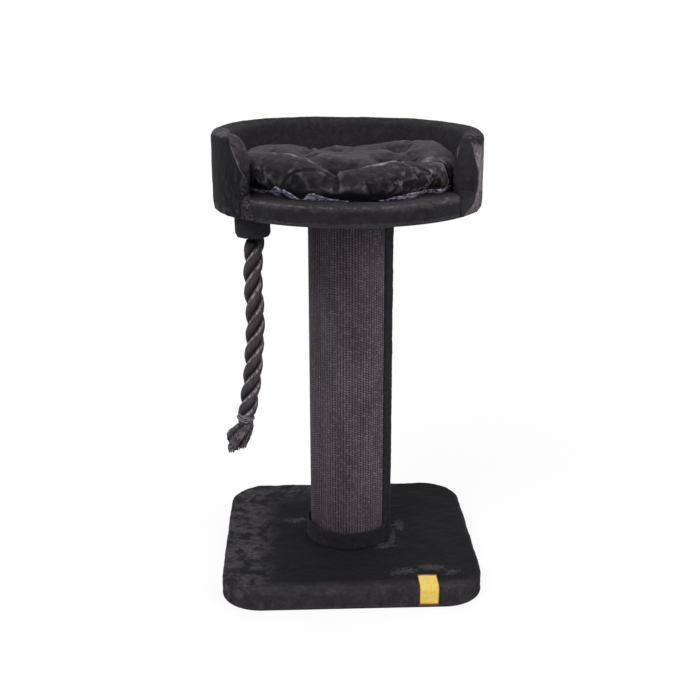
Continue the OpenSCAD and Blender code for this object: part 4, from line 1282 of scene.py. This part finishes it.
    def section(self, inset, top):
        """Outline of the wall, from the skirt's foot up the outside and down the inside."""
        out, inner = WALL_OUT_R + self.pile / 2 - inset, WALL_IN_R + inset
        mid, half = (out + inner) / 2, (out - inner) / 2
        skirt, foot = WALL_OUT_R - 3.6 * MM, BED_Z + 0.5 * MM + inset
        high = half * self.dome
        shoulder = top - high
        line = [(skirt + 1.2 * MM, foot), (out - self.tuck - 0.5 * MM, foot)]
        for z in np.linspace(foot + 1 * MM, shoulder, 48):
            near = max(0.0, 1 - (z - foot) / (15 * MM))
            line.append((out - self.tuck * (1 - math.sqrt(1 - near ** 2)), z))
        line += [(mid + half * self.squarer(math.cos(a)), shoulder + high * self.squarer(math.sin(a)))
                 for a in np.linspace(0, math.pi, 24)[1:]]
        line += [(inner, shoulder - (shoulder - FLOOR_Z + 1 * MM) * t) for t in np.linspace(0, 1, 32)[1:]]
        return [*line, (skirt, FLOOR_Z - 1 * MM), (skirt, (FLOOR_Z + foot) / 2)]

    def squarer(self, value):
        """Makes a circle's sine or cosine a little squarer."""
        return math.copysign(abs(value) ** 0.86, value)

    def collar(self, finish):
        """Plush sleeve over the rope's block, gathered in at its mouth."""
        lo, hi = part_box("rope_collar")
        out, mouth, roll, top, foot = (hi.x - lo.x) / 2, 21.5 * MM, 11 * MM, hi.z, lo.z
        inner, lip = out - 3 * MM, foot + 2.1 * MM
        section = [(inner, top)] + [(out, z) for z in np.linspace(top, foot + roll, 10)]
        section += arc(out - roll, foot + roll, roll, -roll, quarter(7))
        section += [(mouth, foot), (mouth, lip), (inner, lip)]
        made = turned("collar_plush", section, 84, finish)
        at = places(made.data)
        shift(made.data, (lo.x + hi.x) / 2, (lo.y + hi.y) / 2)
        ruffle(made.data, [(0.02, 0.9 * MM, 31), (0.007, 0.5 * MM, 32)],
               smooth((radii(at) - 24 * MM) / (5 * MM)) * smooth((top - at[:, 2]) / (3 * MM)))
        return made


class SCRATCHER_OT_cushion(bpy.types.Operator):
    """Loose tufted cushion with its satin lining"""
    bl_idname = "scratcher.cushion"
    bl_label = "Cushion"

    def execute(self, context):
        plan, pile = context.scene.scratcher_cushion, context.scene.scratcher_plush
        body = self.form(plan)
        self.inflate(context, body, plan)
        self.fit_bed(body)
        # Its pale colour carries the painted top light and crest highlight as well as crushed pile
        finish = plush("cushion_plush", tuple(pile.dark), (0.3, 0.25, 0.285), 0.9, self.strokes_and_painted_light, ridge=0.55)
        dress(body, finish)
        mark_ridges(body.data, 30, 3.2 * MM)
        # Upward faces, for the finish's painted top light
        mark(body.data, "up", normals(body.data)[:, 2])
        lining = self.lining(body, satin())
        carry(body, "cushion", "plush", "cushion")
        carry(lining, "cushion", "satin", "cushion_lining")
        return {"FINISHED"}

    def strokes_and_painted_light(self, f, x, y, z):
        """Painted top light on upward faces, more at the back, a painted crest highlight, and strokes on the
        right.
        """
        far = reach(x, y)
        blot = f.noise(55, 3.0, 0.65, warp=0.8)
        # Painted top light: upward faces lighter, more so at the back
        top = f.step(f.own("up"), 0.45, 0.95) * f.step(y, -0.15, -0.02, 0.12, 0.4)
        # Painted highlight along the front roll's crest
        crest = f.step(far + (blot - 0.5) * 0.03, 0.138, 0.15) * f.step(far, 0.17, 0.156)
        crest = crest * f.step(y, -0.02, -0.08)
        right = f.step(x, 0.02, 0.1) * f.step(y, -0.09, -0.14) * f.step(blot, 0.52, 0.6)
        cloud = f.step(f.noise(30, 3.0, 0.6, warp=0.8), 0.52, 0.7) * 0.14
        return top * 0.5 + (crest * (0.15 + 0.85 * f.step(blot, 0.42, 0.6))).most(right * 0.35) + cloud * 0.5

    def tufts(self):
        """Places of the five tufts on their ring."""
        turns = [math.radians(-102 + 72 * i) for i in range(5)]
        return [(107 * MM * math.cos(a), 107 * MM * math.sin(a)) for a in turns]

    # The roll's crest: direction in degrees and height above the floor in millimetres
    crest = [
        (-180, 66), (-144, 72), (-120, 70), (-100, 51), (-60, 62), (-30, 56), (0, 72), (18, 76),
        (48, 68), (84, 52), (96, 55), (108, 50), (132, 62), (168, 69), (180, 66),
    ]

    def crest_at(self, a):
        turn, height = zip(*self.crest)
        return np.interp((np.degrees(a) + 180) % 360 - 180, turn, height) * MM

    def form(self, plan):
        """Round pillow: a full roll at the rim over a low seam, and deep tufts in a sunk middle."""
        n, roll, seam = 180, 0.26, 10 * MM
        a = np.arange(n) / n * TAU
        crown = self.crest_at(a) - 6 * MM
        ahead = smooth((-np.sin(a) - 0.35) / 0.5)
        rim = arc(1 - roll, 0.4, roll, 0.6, np.radians(np.linspace(-30, 90, 20)))
        middle = [(u, 1.0) for u in np.linspace(0.71, 0.03, 26)]
        rings = []
        for u, h in rim + middle:
            bulge = 12 * MM * ahead * u ** 6 * min(1.0, h * 2)
            r = (plan.radius - 5 * MM) * u + bulge
            x, y = r * np.cos(a), r * np.sin(a)
            dip = sum(np.exp(-((x - tx) ** 2 + (y - ty) ** 2) / 0.0012) for tx, ty in self.tufts())
            hub = smooth(1 - u / (1 - roll))
            ring = 14 * MM * np.exp(-((r - 100 * MM) / (26 * MM)) ** 2)
            z = seam + (crown * (1 - hub) + 50 * MM * hub - seam) * h - ring
            rings.append(np.column_stack([x, y, FLOOR_Z + 2 * MM + z - 38 * MM * dip]))
        for u, z in [(0.94, 5), (0.9, 2), (0.8, 0.5), (0.6, 0), (0.4, 0), (0.2, 0), (0.05, 0)]:
            r = plan.radius * u
            rings.insert(0, level(np.column_stack([r * np.cos(a), r * np.sin(a)]), FLOOR_Z + (2 + z) * MM))
        return lofted("cushion_plush", rings, bpy.data.materials.new("unfinished"))

    def inflate(self, context, body, plan):
        """Cloth simulation with pressure, held at the tufts and below; the result replaces the mesh."""
        remesh = body.modifiers.new("Remesh", "REMESH")
        remesh.mode, remesh.voxel_size = "VOXEL", 5 * MM
        self.apply(body)
        before = places(body.data)
        near = np.min([np.hypot(before[:, 0] - tx, before[:, 1] - ty) for tx, ty in self.tufts()], axis=0)
        held = body.vertex_groups.new(name="held")
        for i in np.nonzero((near < 7 * MM) | (before[:, 2] < FLOOR_Z + 2 * MM))[0]:
            held.add([int(i)], 1.0, "REPLACE")
        sheet = body.modifiers.new("Cloth", "CLOTH")
        s = sheet.settings
        s.quality, s.mass, s.tension_stiffness, s.compression_stiffness = 6, 0.25, 12, 12
        s.shear_stiffness, s.bending_stiffness = 4, 0.3
        s.use_pressure, s.uniform_pressure_force = True, plan.pressure
        s.effector_weights.gravity = 0
        s.shrink_min = -0.05
        s.vertex_group_mass = "held"
        for step in range(1, self.frames + 1):
            context.scene.frame_set(step)
        self.apply(body)
        context.scene.frame_set(1)
        after = places(body.data)
        move = after - before
        size = np.linalg.norm(move, axis=1)
        put(body.data, before + move * (np.minimum(size, plan.swell) / np.maximum(size, 1e-9))[:, None])
        body.vertex_groups.clear()
        finer = body.modifiers.new("Finer", "SUBSURF")
        finer.levels = finer.render_levels = 1
        self.apply(body)

    # Frames of the simulation
    frames = 20

    def apply(self, obj):
        shown = obj.evaluated_get(bpy.context.evaluated_depsgraph_get())
        mesh = bpy.data.meshes.new_from_object(shown)
        old = obj.data
        obj.modifiers.clear()
        obj.data = mesh
        bpy.data.meshes.remove(old)
        smooth_faces(mesh)

    # Folds in the front of the roll: lines of (direction in degrees, height in millimetres), then
    # depth and width in millimetres
    folds = [
        ([(-126, 14), (-125, 22), (-123, 34), (-120.5, 46), (-117, 52), (-111, 53), (-106, 52), (-101, 43)],
         2.6, 2.4),
        ([(-100, 66), (-99.5, 48), (-98.5, 36), (-98, 24)], 7, 5),
        ([(-60, 68), (-56, 58), (-52, 50), (-50, 40)], 3.5, 4),
        ([(-30, 64), (-31, 44), (-32, 26)], 6, 5),
        ([(-146, 78), (-140, 60), (-137, 44), (-139, 28)], 4, 4),
        ([(-84, 34), (-82, 18)], 2.5, 3),
    ]

    # Distance from the middle at which the folds' directions become millimetres
    front_r = 205

    def fit_bed(self, body):
        """Crest heights, folds, creases and lumps, with room left inside the wall and on the floor."""
        at = places(body.data)
        turn, far = np.arctan2(at[:, 1], at[:, 0]), radii(at)
        sectors = 60
        sector = (turn + math.pi) / TAU * sectors
        part = sector.astype(int) % sectors
        rim, hub = (far > 0.135) & (far < 0.185), far < 0.05
        tops = np.array([at[rim & (part == k), 2].max() for k in range(sectors)]) - FLOOR_Z
        tops = (np.roll(tops, 1) + 2 * tops + np.roll(tops, -1)) / 4
        here = np.interp(sector, np.arange(-1, sectors + 1) + 0.5, [tops[-1], *tops, tops[0]])
        ratio = self.crest_at(turn) / here
        centre = 57 * MM / (at[hub, 2].max() - FLOOR_Z)
        at[:, 2] = FLOOR_Z + (at[:, 2] - FLOOR_Z) * (centre + (ratio - centre) * smooth(far / 0.12))
        put(body.data, at)

        # Folds, laid out on the roll's front as a flat sheet in millimetres, each with a low lip beside it
        high = (at[:, 2] - FLOOR_Z) / MM
        sheet = np.column_stack([turn * self.front_r, high])
        sunk = np.zeros(len(at))
        for line, depth, width in self.folds:
            away = to_line(sheet, [(math.radians(a) * self.front_r, z) for a, z in line])
            depth = depth * (0.75 + 0.5 * field(at, 0.03, 7))
            groove = np.exp(-(away / width) ** 2) - 0.2 * np.exp(-((away - 2.4 * width) / width) ** 2)
            sunk = np.maximum(sunk, depth * groove)

        # Creases: short rays round each tuft, and one out over the roll
        outer = smooth((far - 0.13) / 0.03)
        lift = smooth((high - 22) / 16)
        rays = np.zeros(len(at))
        for k, (tx, ty) in enumerate(self.tufts()):
            dx, dy = at[:, 0] - tx, at[:, 1] - ty
            gap = np.hypot(dx, dy)
            ray = np.sin(5 * np.arctan2(dy, dx) + 1.3 * k + 18 * gap) ** 3
            rays += ray * np.exp(-((gap - 30 * MM) / (18 * MM)) ** 2)
            off = np.abs((turn - math.atan2(ty, tx) + math.pi) % TAU - math.pi) * far
            crease = np.exp(-(off / (7 * MM)) ** 2) * smooth((far - 0.11) / 0.02)
            sunk += 6 * crease * lift * (1 - outer * 0.3)
        put(body.data, at + normals(body.data) * (rays * lift * 2.0 * MM - sunk * outer * MM)[:, None])
        ruffle(body.data, [(0.03, 1.8 * MM, 41), (0.012, 0.7 * MM, 42), (0.0055, 0.35 * MM, 43)],
               smooth((at[:, 2] - FLOOR_Z - 4 * MM) / (8 * MM)))

        # Room inside the wall, more of it in the bed's opening, and on the floor
        at = places(body.data)
        away = (np.degrees(np.arctan2(at[:, 0], -at[:, 1])) - 5) / 57
        limit = WALL_IN_R - 3 * MM + 12 * MM * smooth((1 - np.abs(away)) / 0.3)
        at[:, :2] *= np.minimum(1.0, limit / np.maximum(radii(at), 1e-9))[:, None]
        at[:, 2] = np.maximum(at[:, 2], FLOOR_Z + 2.0 * MM)
        put(body.data, at)

    # Where the satin shows more or less: direction and width in degrees, and millimetres
    lifts = [
        (-129, 6, 13), (-117, 3, -9), (-109, 5, 8), (-86, 12, -12), (-50, 13, 3), (60, 60, 2), (170, 30, 3),
    ]

    def lining(self, body, finish):
        """The satin: the lower part of the pillow, a little outside it, up to a wavy seam."""
        shape = bmesh.new()
        shape.from_mesh(body.data)
        seam = {}
        for v in shape.verts:
            a = math.atan2(v.co.y, v.co.x)
            d = math.degrees(a)
            lifts = sum(h * math.exp(-((d - at) / wide) ** 2) for at, wide, h in self.lifts)
            seam[v.index] = FLOOR_Z + (10 + lifts + 1.5 * math.sin(11 * a)) * MM
        gone = [f for f in shape.faces if any(v.co.z > seam[v.index] for v in f.verts)]
        bmesh.ops.delete(shape, geom=gone, context="FACES")
        mesh = bpy.data.meshes.new("cushion_lining_satin")
        shape.to_mesh(mesh)
        shape.free()
        made = new_object("cushion_lining_satin", mesh)
        shell = made.modifiers.new("Shell", "SOLIDIFY")
        shell.thickness, shell.offset = 1.5 * MM, 1.0
        self.apply(made)
        dress(made, finish)
        return made


class SCRATCHER_OT_fittings(bpy.types.Operator):
    """Finishes of the inner pieces and fixings"""
    bl_idname = "scratcher.fittings"
    bl_label = "Fittings"

    def execute(self, context):
        steel = zinc()
        black = cloth("underside_cloth", (0.012, 0.012, 0.013), (0.03, 0.03, 0.033))
        thread = cloth("tuft_thread", (0.01, 0.01, 0.011), (0.03, 0.03, 0.03))
        pine = timber("raw_pine", (0.62, 0.42, 0.22), (0.42, 0.26, 0.12))
        # The rope's block is painted near black as shade, because raw wood would show in the collar's mouth
        shade_black_pine = timber("black_stained_pine", (0.02, 0.018, 0.018), (0.011, 0.01, 0.01))
        chips = timber("chipboard", (0.58, 0.42, 0.25), (0.35, 0.23, 0.12), chips=True)
        ply = timber("bent_ply", (0.6, 0.43, 0.25), (0.45, 0.3, 0.16))
        knot = yarn("knot_yarn", (0.016, 0.014, 0.016), (0.12, 0.11, 0.115),
                    lambda f, streak: 0.2 + 0.6 * streak)
        worn = {
            "base_board": chips, "bed_board": chips, "post_bottom_plug": pine, "post_top_plug": pine,
            "rope_block": shade_black_pine, "wall_core": ply, "post_tube": board_paper(), "wall_foam": foam_finish(),
            "base_underlay": black, "bed_underside_cover": black, "tuft_stitches": thread,
            "rope_knot": knot,
        }
        for name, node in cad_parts.items():
            if not node.hide_render:
                dress(node, worn.get(name, steel))
        return {"FINISHED"}


class SCRATCHER_PT_panel(bpy.types.Panel):
    """Lists the scratcher's pieces"""
    bl_idname = "SCRATCHER_PT_panel"
    bl_label = "Cat scratcher"
    bl_space_type = "VIEW_3D"
    bl_region_type = "UI"
    bl_category = "Scratcher"

    def draw(self, context):
        for operator in OPERATORS:
            self.layout.operator(operator.bl_idname)
        for name in PLANS:
            plan = getattr(context.scene, name)
            box = self.layout.box()
            for key in plan.bl_rna.properties.keys():
                if key not in ("rna_type", "name"):
                    box.prop(plan, key)


PLANS = {
    "scratcher_stage": StagePlan, "scratcher_plush": PlushPlan, "scratcher_post": PostPlan,
    "scratcher_rope": RopePlan, "scratcher_cushion": CushionPlan, "scratcher_tab": TabPlan,
}
OPERATORS = [
    SCRATCHER_OT_stage, SCRATCHER_OT_rope, SCRATCHER_OT_base, SCRATCHER_OT_post,
    SCRATCHER_OT_bed, SCRATCHER_OT_cushion, SCRATCHER_OT_fittings,
]


def register():
    for kind in (*PLANS.values(), *OPERATORS, SCRATCHER_PT_panel):
        bpy.utils.register_class(kind)
    for name, kind in PLANS.items():
        setattr(bpy.types.Scene, name, PointerProperty(type=kind))


def unregister():
    for name in PLANS:
        delattr(bpy.types.Scene, name)
    for kind in (SCRATCHER_PT_panel, *reversed(OPERATORS), *PLANS.values()):
        bpy.utils.unregister_class(kind)


def main():
    register()
    for operator in OPERATORS:
        getattr(bpy.ops.scratcher, operator.bl_idname.split(".")[1])()


if __name__ == "__main__":
    main()
